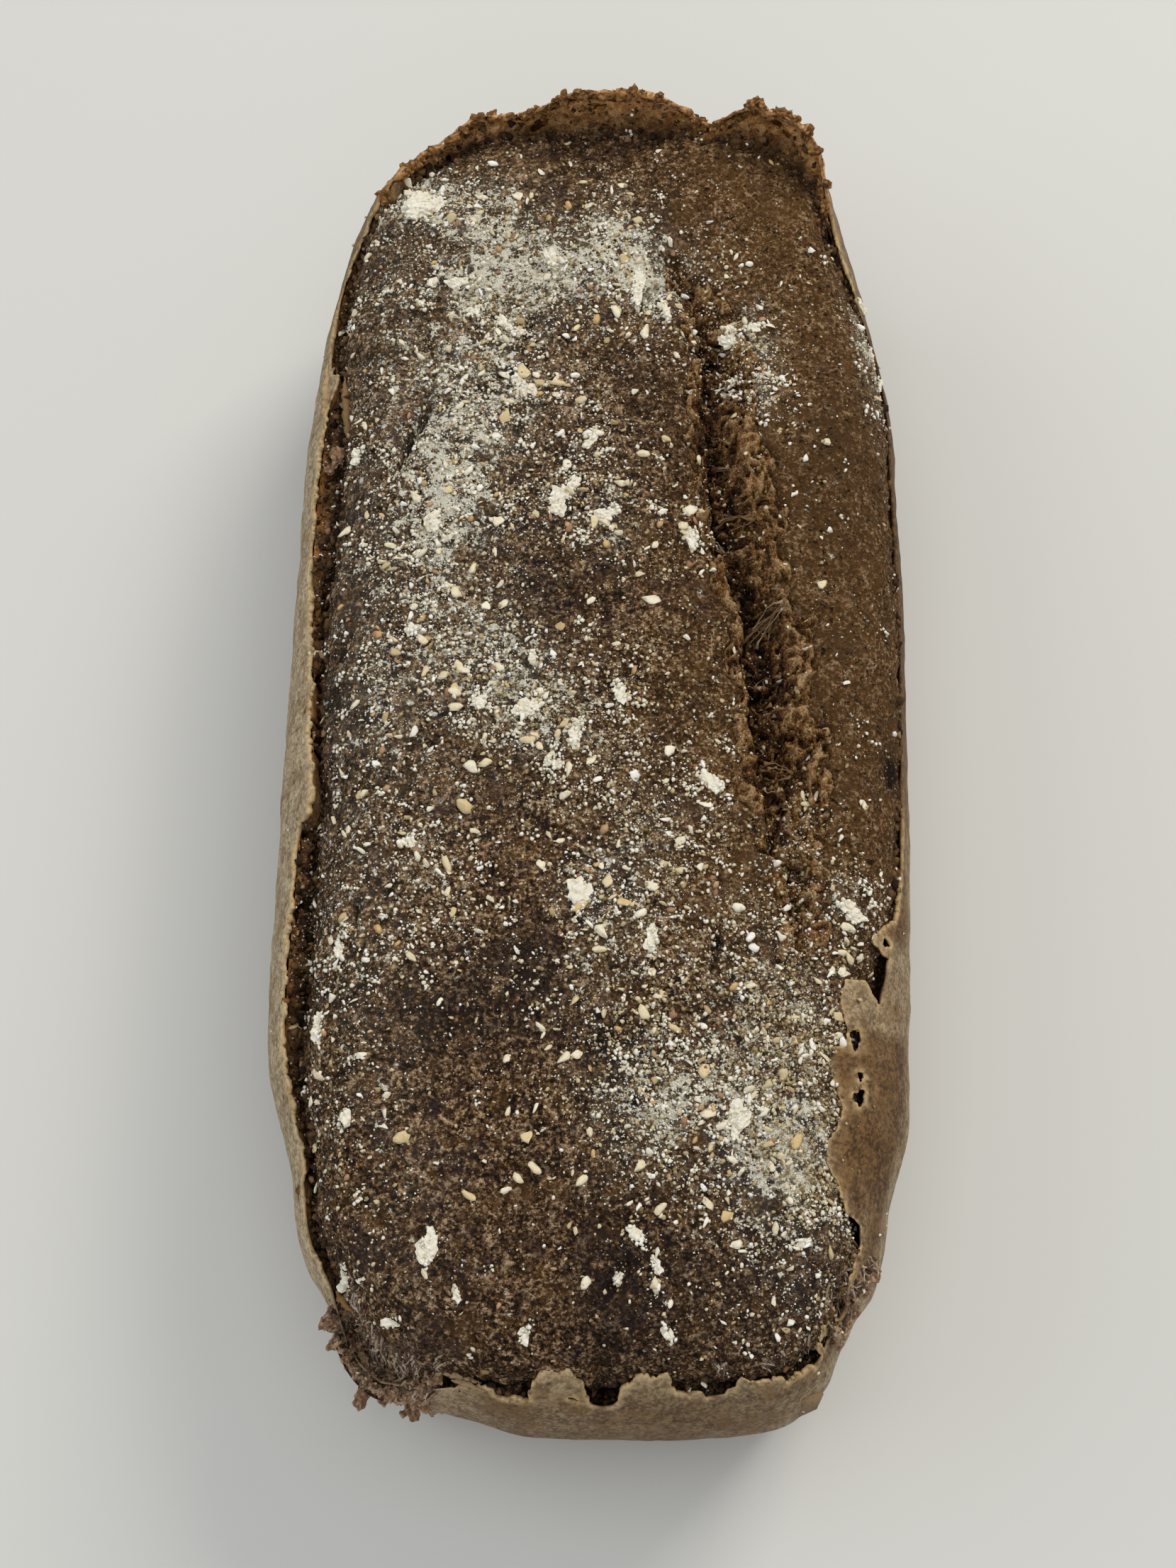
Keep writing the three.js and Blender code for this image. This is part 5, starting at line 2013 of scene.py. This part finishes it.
    def tint(self, surface: object, colour: object, cover: Socket, share: float) -> Socket:
        """Returns the surface with a colour over it, as thick as cover times share."""
        return self.blend(self.sum("MULTIPLY", cover, share), surface, colour)

    def colour(self, value: object) -> None:
        """Sets the surface's colour."""
        self.plug(self.shader.inputs["Base Color"], value)

    def bump(self, height: Socket, depth: float, strength: float) -> None:
        """Raises the surface by height times depth mm."""
        node = self.lay("Bump", Strength=strength, Distance=depth * MM, Height=height)
        self.plug(self.shader.inputs["Normal"], node.outputs["Normal"])

    def dress(self, piece: Piece) -> None:
        """Puts the material on a piece as its only one."""
        piece.data.materials.clear()
        piece.data.materials.append(self.material)


@dataclass(frozen=True)
class CrumbFinish:
    """The speckled dark crumb with its flour."""

    tones: Tones = shades(
        (0.41, 8, 5, 3), (0.46, 36, 22, 12), (0.502, 82, 57, 35), (0.542, 130, 98, 66),
        (0.585, 196, 168, 134),
    )
    flecks: Tones = shades(
        (0.0, 38, 25, 20), (0.2, 66, 47, 33), (0.6, 88, 64, 40), (0.8, 138, 96, 50),
        (0.97, 172, 150, 120),
    )
    ochre: Colour = srgb(108, 75, 34)
    plum: Colour = srgb(58, 42, 42)
    # Amber, lit amber and the clinging brown are partly the crumb's own colour and partly painted light, on
    # crumb banked against the skin and at the far end.
    amber: Colour = srgb(176, 120, 60)
    lit_amber: Colour = srgb(232, 178, 118)
    clinging: Colour = srgb(118, 84, 54)
    # Dark blotches the crumb has, and also the painted shade in the gap and on the crumb's sides.
    blotch_and_shade: Colour = srgb(30, 21, 21)
    # Painted shade: the near black of cracks and pits.
    hollow_shade: Colour = srgb(14, 8, 5)
    flour: Colour = srgb(226, 220, 200)

    def material(self) -> Finish:
        """Lays the nodes and returns the finish."""
        bench = Finish("speckled crumb", 0.9, 0.15)
        fine, middle = bench.noise(0.7, 3.0, 0.7), bench.noise(2.0, 3.0, 0.6)
        wide = bench.noise(8.0, 2.0)
        relief = bench.level("relief")
        # Raised places are a touch lighter and low ones a touch darker, as painted shade.
        tone = bench.weigh((fine, 0.62), (middle, 0.3), (wide, 0.08), (relief, 0.03))
        surface = bench.ramp(tone, self.tones)
        away, own = bench.cells(0.8)
        inside = bench.sum("MULTIPLY", bench.window(away, 0.6, 0.3), 0.4)
        surface = bench.blend(inside, surface, bench.ramp(own, self.flecks))
        warm = bench.window(bench.noise(5.5, 3.0, 0.6), 0.5, 0.68)
        surface = bench.tint(surface, self.ochre, warm, 0.35)
        cool = bench.window(bench.noise(6.5, 3.0, 0.6, 0.4), 0.52, 0.68)
        surface = bench.tint(surface, self.plum, cool, 0.5)
        broken = bench.window(bench.noise(2.6, 3.0), 0.28, 0.54)
        dark = bench.sum("MULTIPLY", bench.level("dark"), broken)
        surface = bench.tint(surface, self.blotch_and_shade, dark, 0.85)
        surface = bench.tint(surface, self.ochre, bench.level("warm"), 0.4)
        # Painted shade: the gap between crumb and skin and the crumb's sides are darkened, less where crumb
        # clings to the skin.
        side = bench.sum("MULTIPLY", bench.level("side"), 0.25)
        shade = bench.sum("MAXIMUM", bench.level("gap"), side)
        shade = bench.sum("SUBTRACT", shade, bench.level("cling"), clamp=True)
        surface = bench.tint(surface, self.blotch_and_shade, shade, 0.5)
        # Crumb that clings to the skin: its own brown and amber, made lighter as painted light, and without
        # the painted shade of the gap.
        uneven = bench.window(bench.noise(2.4, 4.0, 0.7), 0.42, 0.62)
        cling = bench.blend(uneven, self.clinging, self.amber)
        surface = bench.tint(surface, cling, bench.level("cling"), 0.85)
        # Painted light: the crumb banked against the far rim is lightened to amber and lit amber, a glow as
        # if lit from behind.
        uneven = bench.window(bench.noise(1.6, 4.0, 0.7), 0.42, 0.6)
        back = bench.blend(uneven, self.amber, self.lit_amber)
        surface = bench.tint(surface, back, bench.level("back"), 0.8)
        # Painted shade: cracks and pits are darkened to near black.
        surface = bench.tint(surface, self.hollow_shade, bench.level("deep"), 0.92)
        pits = bench.window(bench.noise(1.5, 3.0, 0.6, 0.3), 0.37, 0.31)
        surface = bench.tint(surface, self.hollow_shade, pits, 0.85)
        drift = bench.window(bench.noise(4.0, 3.0, 0.65), 0.2, 0.62)
        flour = bench.sum("MULTIPLY", bench.level("flour"), drift)
        cover = bench.weigh(
            (bench.noise(0.7, 5.0, 0.8), 0.54), (bench.noise(2.3, 3.0, 0.65), 0.5), (flour, 0.24),
            (bench.level("grit"), 0.12),
        )
        dust = bench.window(cover, 0.635, 0.67)
        haze = bench.sum("MULTIPLY", flour, 0.2)
        bench.colour(bench.blend(bench.sum("MAXIMUM", haze, dust), surface, self.flour))
        bench.bump(bench.weigh((fine, 0.9), (middle, 0.9), (dust, 0.12), (pits, -0.6)), 1.4, 1.0)
        return bench


@dataclass(frozen=True)
class TearFinish:
    """Torn crumb: near black in its pits and golden brown on its strings, with painted shade where it lies
    low and deep.
    """

    tones: Tones = shades(
        (0.27, 12, 7, 4), (0.4, 56, 34, 17), (0.5, 106, 70, 37), (0.59, 146, 104, 60),
        (0.74, 196, 162, 116),
    )
    plum: Colour = srgb(60, 44, 42)
    # The bare colours are partly the mealy crumb's own and partly painted light on a corner's shaded outside.
    bare: Colour = srgb(200, 170, 142)
    bare_dark: Colour = srgb(106, 80, 60)
    grey: float = 0.2

    def material(self) -> Finish:
        """Lays the nodes and returns the finish."""
        bench = Finish("torn crumb", 0.88, 0.15)
        fine, middle = bench.noise(0.45, 3.0, 0.75), bench.noise(1.5, 3.0, 0.65)
        web = bench.sum("ABSOLUTE", bench.sum("SUBTRACT", bench.noise(1.5, 3.0, 0.6, 1.2), 0.5), 0.0)
        strings = bench.window(web, 0.07, 0.0)
        # Painted shade: the torn surface is darker where it lies low and where the burst drops deep.
        tone = bench.weigh(
            (fine, 0.85), (middle, 0.4), (bench.level("relief"), 0.1), (strings, 0.1),
            (bench.level("depth"), -0.22),
        )
        surface = bench.ramp(tone, self.tones)
        cool = bench.window(bench.noise(5.0, 2.0), 0.5, 0.68)
        surface = bench.tint(surface, self.plum, cool, self.grey)
        meal = bench.blend(bench.window(tone, 0.4, 0.62), self.bare_dark, self.bare)
        bench.colour(bench.tint(surface, meal, bench.level("bare"), 0.8))
        bench.bump(bench.weigh((fine, 0.8), (middle, 0.6), (strings, 0.3)), 0.7, 0.9)
        return bench


@dataclass(frozen=True)
class SkinFinish:
    """The thin baked skin: pale and papery on the left, warmer brown elsewhere."""

    pale: Colour = srgb(194, 176, 144)
    pale_dark: Colour = srgb(138, 118, 88)
    brown: Colour = srgb(118, 87, 50)
    brown_dark: Colour = srgb(66, 44, 25)
    speck: Colour = srgb(66, 48, 30)
    # The torn edge's pale and amber colours are painted light, a glow through the thin skin.
    edge: Colour = srgb(206, 176, 128)
    lit_amber_edge: Colour = srgb(164, 116, 60)
    inner: Colour = srgb(128, 84, 40)
    inner_dark: Colour = srgb(40, 25, 14)
    # The far rim's crumbly colours are partly its own and partly painted light that lightens that rim.
    crumbly: Colour = srgb(226, 174, 118)
    crumbly_dark: Colour = srgb(98, 66, 38)
    joined: Colour = srgb(118, 88, 56)
    joined_dark: Colour = srgb(50, 34, 22)
    # The mealy colours are partly the crumb's own and partly painted light on the corner's shaded outside.
    mealy: Colour = srgb(196, 168, 134)
    mealy_dark: Colour = srgb(104, 80, 56)

    def material(self) -> Finish:
        """Lays the nodes and returns the finish."""
        bench = Finish("baked skin", 0.75, 0.25)
        fine = bench.noise(0.65, 3.0, 0.7)
        mottle = bench.window(bench.weigh((fine, 0.6), (bench.noise(2.2, 4.0, 0.7), 0.4)), 0.42, 0.6)
        pale = bench.blend(mottle, self.pale_dark, self.pale)
        brown = bench.blend(mottle, self.brown_dark, self.brown)
        uneven = bench.weigh((bench.noise(9.0, 4.0, 0.65), 0.9), (bench.level("pale"), 1.0))
        outside = bench.blend(bench.sum("SUBTRACT", uneven, 0.45, clamp=True), brown, pale)
        stain = bench.window(bench.noise(6.0, 4.0, 0.7), 0.47, 0.64)
        outside = bench.tint(outside, self.brown, stain, 0.55)
        streak = bench.window(bench.streaks((0.9, 0.9, 7.0), 3.0), 0.52, 0.7)
        outside = bench.tint(outside, self.brown_dark, streak, 0.35)
        away, own = bench.cells(1.3)
        specks = bench.sum("MULTIPLY", bench.window(away, 0.42, 0.2), bench.window(own, 0.72, 0.8))
        outside = bench.tint(outside, self.speck, specks, 0.6)
        # Painted light: the torn edge is lightened, pale at the front and sides and amber at the far end, as
        # a glow through the thin skin.
        rim = bench.blend(bench.level("far"), self.edge, self.lit_amber_edge)
        broken = bench.window(bench.noise(1.1, 2.0), 0.25, 0.6)
        fray = bench.sum("MULTIPLY", bench.level("edge"), broken)
        outside = bench.tint(outside, rim, fray, 0.85)
        patches = bench.window(bench.noise(2.0, 3.0, 0.7), 0.3, 0.7)
        inside = bench.blend(patches, self.inner_dark, self.inner)
        inside = bench.tint(inside, rim, bench.level("edge"), 0.7)
        surface = bench.blend(bench.level("inner"), outside, inside)
        # The far rim's torn crumb: its own crumbly colour made lighter as painted light, with the painted
        # glow on its edge.
        patchy = bench.weigh((bench.noise(1.6, 4.0, 0.7), 0.6), (fine, 0.4))
        lumps = bench.blend(bench.window(patchy, 0.42, 0.58), self.crumbly_dark, self.crumbly)
        lumps = bench.tint(lumps, self.lit_amber_edge, bench.level("edge"), 0.8)
        far = bench.sum("MULTIPLY", bench.level("far"), bench.level("loose"))
        surface = bench.tint(surface, lumps, far, 0.95)
        joined = bench.blend(bench.window(patchy, 0.38, 0.62), self.joined_dark, self.joined)
        surface = bench.blend(bench.level("joined"), surface, joined)
        mealy = bench.blend(bench.window(patchy, 0.38, 0.62), self.mealy_dark, self.mealy)
        ragged = bench.weigh((bench.noise(3.0, 3.0, 0.65), 1.2), (bench.level("mealy"), 1.0))
        surface = bench.blend(bench.window(ragged, 0.95, 1.3), surface, mealy)
        bench.colour(surface)
        bench.bump(bench.weigh((fine, 0.6), (bench.streaks((1.2, 1.2, 5.0), 2.0), 0.5)), 0.4, 0.75)
        return bench


@dataclass(frozen=True)
class GritFinish:
    """One kind of grit, from its darkest to its lightest grain."""

    name: str
    stops: Tones
    roughness: float = 0.8
    specular: float = 0.25
    fleck: float = 0.25
    fleck_colour: Colour = srgb(150, 120, 85)

    def material(self) -> Finish:
        """Lays the nodes and returns the finish."""
        bench = Finish(self.name, self.roughness, self.specular)
        own = bench.ramp(bench.level("tone"), self.stops)
        fleck = bench.window(bench.noise(0.6, 3.0, 0.7), 0.5, 0.72)
        bench.colour(bench.tint(own, self.fleck_colour, fleck, self.fleck))
        bench.bump(bench.noise(0.35, 3.0, 0.7), 0.12, 0.5)
        return bench


WHITE = shades((0.0, 206, 196, 170), (0.5, 226, 219, 200), (1.0, 238, 235, 224))
RICE_TONES = shades(
    (0.0, 178, 152, 108), (0.2, 208, 192, 154), (0.6, 226, 218, 198), (1.0, 240, 237, 228),
)
FIBRE_TONES = shades((0.0, 58, 42, 32), (0.5, 104, 84, 66), (1.0, 184, 166, 144))
CLOT_TONES = shades((0.0, 66, 47, 36), (0.5, 134, 104, 80), (1.0, 186, 154, 122))
RIM_CRUMB_TONES = shades((0.0, 44, 28, 16), (0.5, 112, 78, 44), (1.0, 178, 134, 82))
WEB_TONES = shades((0.0, 92, 66, 42), (0.6, 128, 98, 66), (1.0, 164, 142, 114))
SHRED_TONES = shades(
    (0.25, 48, 32, 20), (0.5, 132, 92, 46), (0.7, 134, 112, 82), (0.95, 186, 158, 118),
)
FIBRE = GritFinish("crumb fibre", FIBRE_TONES, 0.85, 0.2, 0.4, srgb(80, 62, 50))
FLOUR_LUMP = GritFinish("flour lump", WHITE, 0.95, 0.1, 0.3, srgb(190, 178, 148))
CLOT = GritFinish("crumb clot", CLOT_TONES, 0.9, 0.15, 0.4, srgb(60, 44, 38))
RIM_CRUMB = GritFinish("rim crumb", RIM_CRUMB_TONES, 0.9, 0.15, 0.4, srgb(60, 40, 24))
WEB = GritFinish("tear web", WEB_TONES, 0.8, 0.2, 0.4)
SHRED = GritFinish("skin shred", SHRED_TONES, 0.8, 0.25, 0.5, srgb(84, 60, 36))
GRITS: tuple[tuple[GritSort, GritFinish], ...] = (
    (
        GritSort(
            GritKind.FLOUR, count=19000, sizes=(0.2, 0.6), bias=1.7, flatness=(0.5, 0.9),
            slimness=(0.6, 1.0), tilt=0.9, sink=0.15, rounds=0, models=6, jag=0.3,
        ),
        GritFinish("flour", WHITE, 0.95, 0.1, 0.1),
    ),
    (
        GritSort(
            GritKind.HEAP, count=5200, sizes=(0.35, 1.0), bias=1.4, flatness=(0.5, 0.9),
            slimness=(0.6, 1.0), tilt=1.2, sink=0.05, rounds=1, models=8, jag=0.25, facets=1,
            heap=7, spread=0.75,
        ),
        GritFinish("heaped flour", WHITE, 0.95, 0.1, 0.12),
    ),
    (
        GritSort(
            GritKind.BROKEN, count=3200, sizes=(0.45, 1.1), bias=1.6, flatness=(0.45, 0.8),
            slimness=(0.5, 0.9), tilt=0.8, sink=0.2, rounds=1, models=10, jag=0.25, facets=2,
        ),
        GritFinish("broken rice", RICE_TONES),
    ),
    (
        GritSort(
            GritKind.RICE, count=1400, sizes=(0.9, 2.5), bias=2.0, flatness=(0.35, 0.7),
            slimness=(0.4, 0.9), tilt=0.9, sink=0.15, rounds=2, models=16, jag=0.2, facets=9,
        ),
        GritFinish("rice grit", RICE_TONES),
    ),
    (
        GritSort(
            GritKind.OAT, count=240, sizes=(1.5, 3.4), bias=1.4, flatness=(0.16, 0.34),
            slimness=(0.42, 0.85), tilt=0.7, sink=0.1, rounds=2, models=12, jag=0.2, facets=4,
        ),
        GritFinish(
            "oat flake",
            shades((0.0, 206, 178, 128), (0.3, 220, 204, 166), (1.0, 234, 226, 204)),
            0.75, 0.3, 0.4,
        ),
    ),
    (
        GritSort(
            GritKind.BRAN, count=330, sizes=(0.7, 2.2), bias=1.5, flatness=(0.15, 0.4),
            slimness=(0.4, 0.8), tilt=0.7, sink=0.1, rounds=1, models=8, jag=0.2, facets=2,
        ),
        GritFinish(
            "bran flake",
            shades((0.0, 140, 104, 78), (0.5, 176, 138, 104), (1.0, 210, 176, 118)),
            0.75, 0.25, 0.3,
        ),
    ),
    (
        GritSort(
            GritKind.MEAL, count=7000, sizes=(0.3, 1.0), bias=1.3, flatness=(0.5, 0.9),
            slimness=(0.55, 1.0), tilt=1.0, sink=0.15, rounds=1, models=10, jag=0.3, facets=2,
        ),
        GritFinish(
            "tan meal",
            shades(
                (0.0, 104, 84, 58), (0.4, 150, 130, 96), (0.8, 184, 166, 130), (1.0, 212, 198, 164),
            ),
            0.9, 0.15, 0.35, srgb(96, 72, 46),
        ),
    ),
    (
        GritSort(
            GritKind.CRUMBLE, count=17000, sizes=(0.3, 1.0), bias=1.5, flatness=(0.5, 0.8),
            slimness=(0.6, 1.0), tilt=0.9, sink=0.3, rounds=0, models=6, jag=0.3,
        ),
        GritFinish(
            "crumb grain",
            shades(
                (0.0, 38, 25, 16), (0.3, 74, 53, 34), (0.7, 104, 78, 48), (0.9, 130, 94, 52),
                (1.0, 160, 136, 104),
            ),
            0.9, 0.15, 0.3, srgb(50, 34, 22),
        ),
    ),
    (
        GritSort(
            GritKind.RUBBLE, count=2600, sizes=(0.4, 2.0), bias=2.4, flatness=(0.5, 0.9),
            slimness=(0.5, 1.0), tilt=1.4, sink=0.35, rounds=1, models=12, jag=0.45, facets=2,
        ),
        GritFinish(
            "gap crumb",
            shades(
                (0.0, 34, 22, 15), (0.4, 66, 47, 32), (0.8, 92, 68, 44), (0.95, 120, 88, 52),
                (1.0, 150, 124, 92),
            ),
            0.9, 0.15, 0.5, srgb(44, 30, 22),
        ),
    ),
)


@dataclass(frozen=True)
class Lamp:
    """A square soft light: its name, place and side in metres, power in watts and linear colour."""

    name: str
    place: tuple[float, float, float]
    size: float
    power: float
    colour: Colour


@dataclass
class Setting:
    """The plain floor, the soft lights and the camera."""

    lens: float = 54.1
    distance: float = 406.5
    elevation: float = 70.0
    roll: float = 1.3
    aim: tuple[float, float, float] = (-1.4, -13.2, 50.0)
    sensor: float = 36.0
    floor_side: float = 8.0
    floor_colour: Colour = srgb(206, 205, 200)
    lit: tuple[float, float, float] = (0, 0, 0.04)
    lamps: tuple[Lamp, ...] = (
        Lamp("window", (0.75, 0.95, 1.15), 0.7, 14.5, (1.0, 0.95, 0.86)),
        Lamp("left fill", (-1.2, 0.1, 0.9), 1.2, 5.0, (0.86, 0.93, 1.0)),
        Lamp("front fill", (-0.1, -1.4, 0.9), 1.4, 2.2, (0.98, 0.98, 1.0)),
        Lamp("overhead", (0.0, -0.1, 1.6), 1.2, 7.0, (1.0, 1.0, 1.0)),
    )
    sky: Colour = (0.93, 0.96, 1.0)
    sky_strength: float = 0.42

    def floor(self) -> Piece:
        """Lays the pale floor and returns it."""
        deselect()
        bpy.ops.mesh.primitive_plane_add(size=self.floor_side)
        floor = bpy.context.object
        floor.name = floor.data.name = "floor"
        bench = Finish("pale floor", 0.75, 0.2)
        bench.colour(self.floor_colour)
        bench.dress(floor)
        return floor

    def light(self, lamp: Lamp) -> None:
        """Hangs a light that faces the loaf."""
        glow = bpy.data.lights.new(lamp.name, "AREA")
        glow.size, glow.energy, glow.color = lamp.size, lamp.power, lamp.colour
        holder = bpy.data.objects.new(lamp.name, glow)
        holder.location = lamp.place
        ray = Vector(self.lit) - Vector(lamp.place)
        holder.rotation_euler = ray.to_track_quat("-Z", "Y").to_euler()
        bpy.context.scene.collection.objects.link(holder)

    def lights(self) -> None:
        """Hangs the lights and sets the sky."""
        for lamp in self.lamps:
            self.light(lamp)
        world = bpy.data.worlds.new("room")
        world.use_nodes = True
        sky = world.node_tree.nodes["Background"]
        sky.inputs["Color"].default_value = (*self.sky, 1.0)
        sky.inputs["Strength"].default_value = self.sky_strength
        bpy.context.scene.world = world
        bpy.context.scene.view_settings.view_transform = "Standard"

    def camera(self) -> None:
        """Places the camera at the photograph's angle."""
        tilt, roll = math.radians(self.elevation), math.radians(self.roll)
        ahead = Vector((0, math.cos(tilt), -math.sin(tilt)))
        right, up = Vector((1, 0, 0)), Vector((0, math.sin(tilt), math.cos(tilt)))
        turned_right = right * math.cos(roll) + up * math.sin(roll)
        turned_up = up * math.cos(roll) - right * math.sin(roll)
        data = bpy.data.cameras.new("camera")
        data.lens, data.sensor_width, data.sensor_fit = self.lens, self.sensor, "AUTO"
        data.clip_start, data.clip_end = 0.01, 20.0
        camera = bpy.data.objects.new("camera", data)
        place = (Vector(self.aim) - ahead * self.distance) * MM
        turn = Matrix((turned_right, turned_up, -ahead)).transposed()
        camera.matrix_world = Matrix.Translation(place) @ turn.to_4x4()
        bpy.context.scene.collection.objects.link(camera)
        bpy.context.scene.camera = camera


@dataclass
class Ragged:
    """Clots on the torn corners and crumbs along the far rim, where the crust is ragged."""

    rim: Rim
    landing: Landing
    seed: int = Seed.RAGGED
    # How far the clots keep from a corner's first and last tape, and how far down they lie, 0 to 1.
    margins: tuple[float, float] = (1.5, 2.0)
    down: tuple[float, float] = (0.3, 0.86)
    # The tape, count, sideways spread, inset and greatest depth in mm of the crumbs on the rim.
    rim_tape: tuple[float, float] = (266, 376)
    rim_count: int = 130
    rim_spread: float = 0.6
    rim_inset: float = 0.3
    rim_depth: float = 1.2

    def __post_init__(self) -> None:
        """Seeds the draw that both kinds share."""
        self.draw = np.random.default_rng(self.seed)

    def _size(self, least: float, more: float, bias: float) -> float:
        """Returns a length in mm: the least there is and a share of more, mostly small."""
        return least + more * self.draw.uniform() ** bias

    def clots(self, corner_makers: Sequence[Corner], counts: Sequence[int] = (150, 60)) -> Piece:
        """Builds the clots: those at measured places, then the small ones on the corners.

        Args:
            corner_makers: the corners that are torn.
            counts: how many small clots each of them has.

        Returns:
            The clots as one piece.
        """
        bench = Lumps("crumb_clots", self.landing, Seed.CLOTS)
        for x, y, z, long, wide, degrees in CLOTS:
            bench.add(np.array([x, y, z]), long, wide, 0.8 * wide, math.radians(degrees))
        for maker, many in zip(corner_makers, counts):
            low, high = maker.first + self.margins[0], maker.last - self.margins[1]
            tapes = self.draw.uniform(low, high, many)
            for spot in maker.surface(tapes, self.draw.uniform(*self.down, many)):
                size = self._size(0.6, 1.5, 2.5)
                bench.add(spot, size, 0.8 * size, 0.7 * size, self.draw.uniform(0, math.tau))
        return bench.build()

    def rim_crumbs(self) -> Piece:
        """Builds the crumbs along the far rim as one piece and returns it."""
        bench = Lumps("rim_crumbs", self.landing, Seed.RIM_CRUMBS)
        for tape in self.draw.uniform(*self.rim_tape, (self.rim_count, 1)):
            inset = self.rim.torn_line.at(tape) + self.draw.normal() * self.rim_spread
            inset = inset + self.rim_inset
            x, y = self.rim.form.place(tape, inset)
            z = self.rim.dome_z(tape, inset) + self.draw.uniform(-self.rim_depth, 0.0)
            size = self._size(0.7, 2.4, 2.0)
            spot = np.array([x[0], y[0], z[0]])
            bench.add(spot, size, 0.6 * size, 0.6 * size, self.draw.uniform(0, math.tau))
        return bench.build()


Dressing = CrumbFinish | TearFinish | SkinFinish | GritFinish


def settle(piece: Piece, finish: Dressing) -> Piece:
    """Dresses a piece, makes it ride with the loaf and reports it.

    Args:
        piece: the piece.
        finish: what it is dressed in.

    Returns:
        The piece.
    """
    finish.material().dress(piece)
    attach(piece, BODY)
    LOG.info("%s: %d faces", piece.name, len(piece.data.polygons))
    return piece


def main() -> None:
    """Builds the loaf's pieces in order, dresses them and sets the scene."""
    logging.basicConfig(level=logging.INFO, format="%(name)s %(message)s")
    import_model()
    low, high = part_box(NODE)
    setting = Setting()
    setting.camera()
    form = LoafForm((high.x - low.x) / 2 / MM, (high.y - low.y) / 2 / MM)
    rim = Rim(form)
    crumb_maker = Crumb(form, rim, Spokes(form))
    crumb = settle(crumb_maker.build(), CrumbFinish())
    skin = settle(Skin(form, rim, Spokes(form, cap=200, side=300)).build(), SkinFinish())
    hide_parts(NODE)
    tear = settle(Tear(crumb_maker).build(), TearFinish())
    corner_makers = (
        Corner("left_corner_crumb", rim, 586.0, 615.0, outside=-0.7, seed=5, bottom=16.0),
        Corner("right_corner_crumb", rim, 45.0, 66.0, outside=1.2, columns=76, fibres=200, seed=6),
    )
    tufts = Corner("front_tufts", rim, 22.0, 47.0, outside=5.0, fibres=150, seed=7, combed=0.16)
    corner_pieces = [settle(maker.build(), TearFinish(grey=0.5)) for maker in corner_makers]
    fibres = Strands("corner_fibres")
    for maker in (*corner_makers, tufts):
        maker.comb(fibres)
    settle(fibres.build(), FIBRE)
    landing = Landing((crumb, tear, *corner_pieces), skin)
    flour_lumps = Lumps("flour_lumps", landing, Seed.FLOUR_LUMPS)
    for heap in HEAPS:
        flour_lumps.heap(*heap)
    settle(flour_lumps.build(), FLOUR_LUMP)
    ragged = Ragged(rim, landing)
    settle(ragged.clots(corner_makers), CLOT)
    settle(ragged.rim_crumbs(), RIM_CRUMB)
    settle(Webs(crumb_maker, landing).build(), WEB)
    settle(Shreds().build(), SHRED)
    dusting = Dusting(landing, form, rim)
    for number, (sort, finish) in enumerate(GRITS):
        settle(dusting.scatter(sort, Seed.DUSTING + number), finish)
    setting.floor()
    setting.lights()


if __name__ == "__main__":
    main()
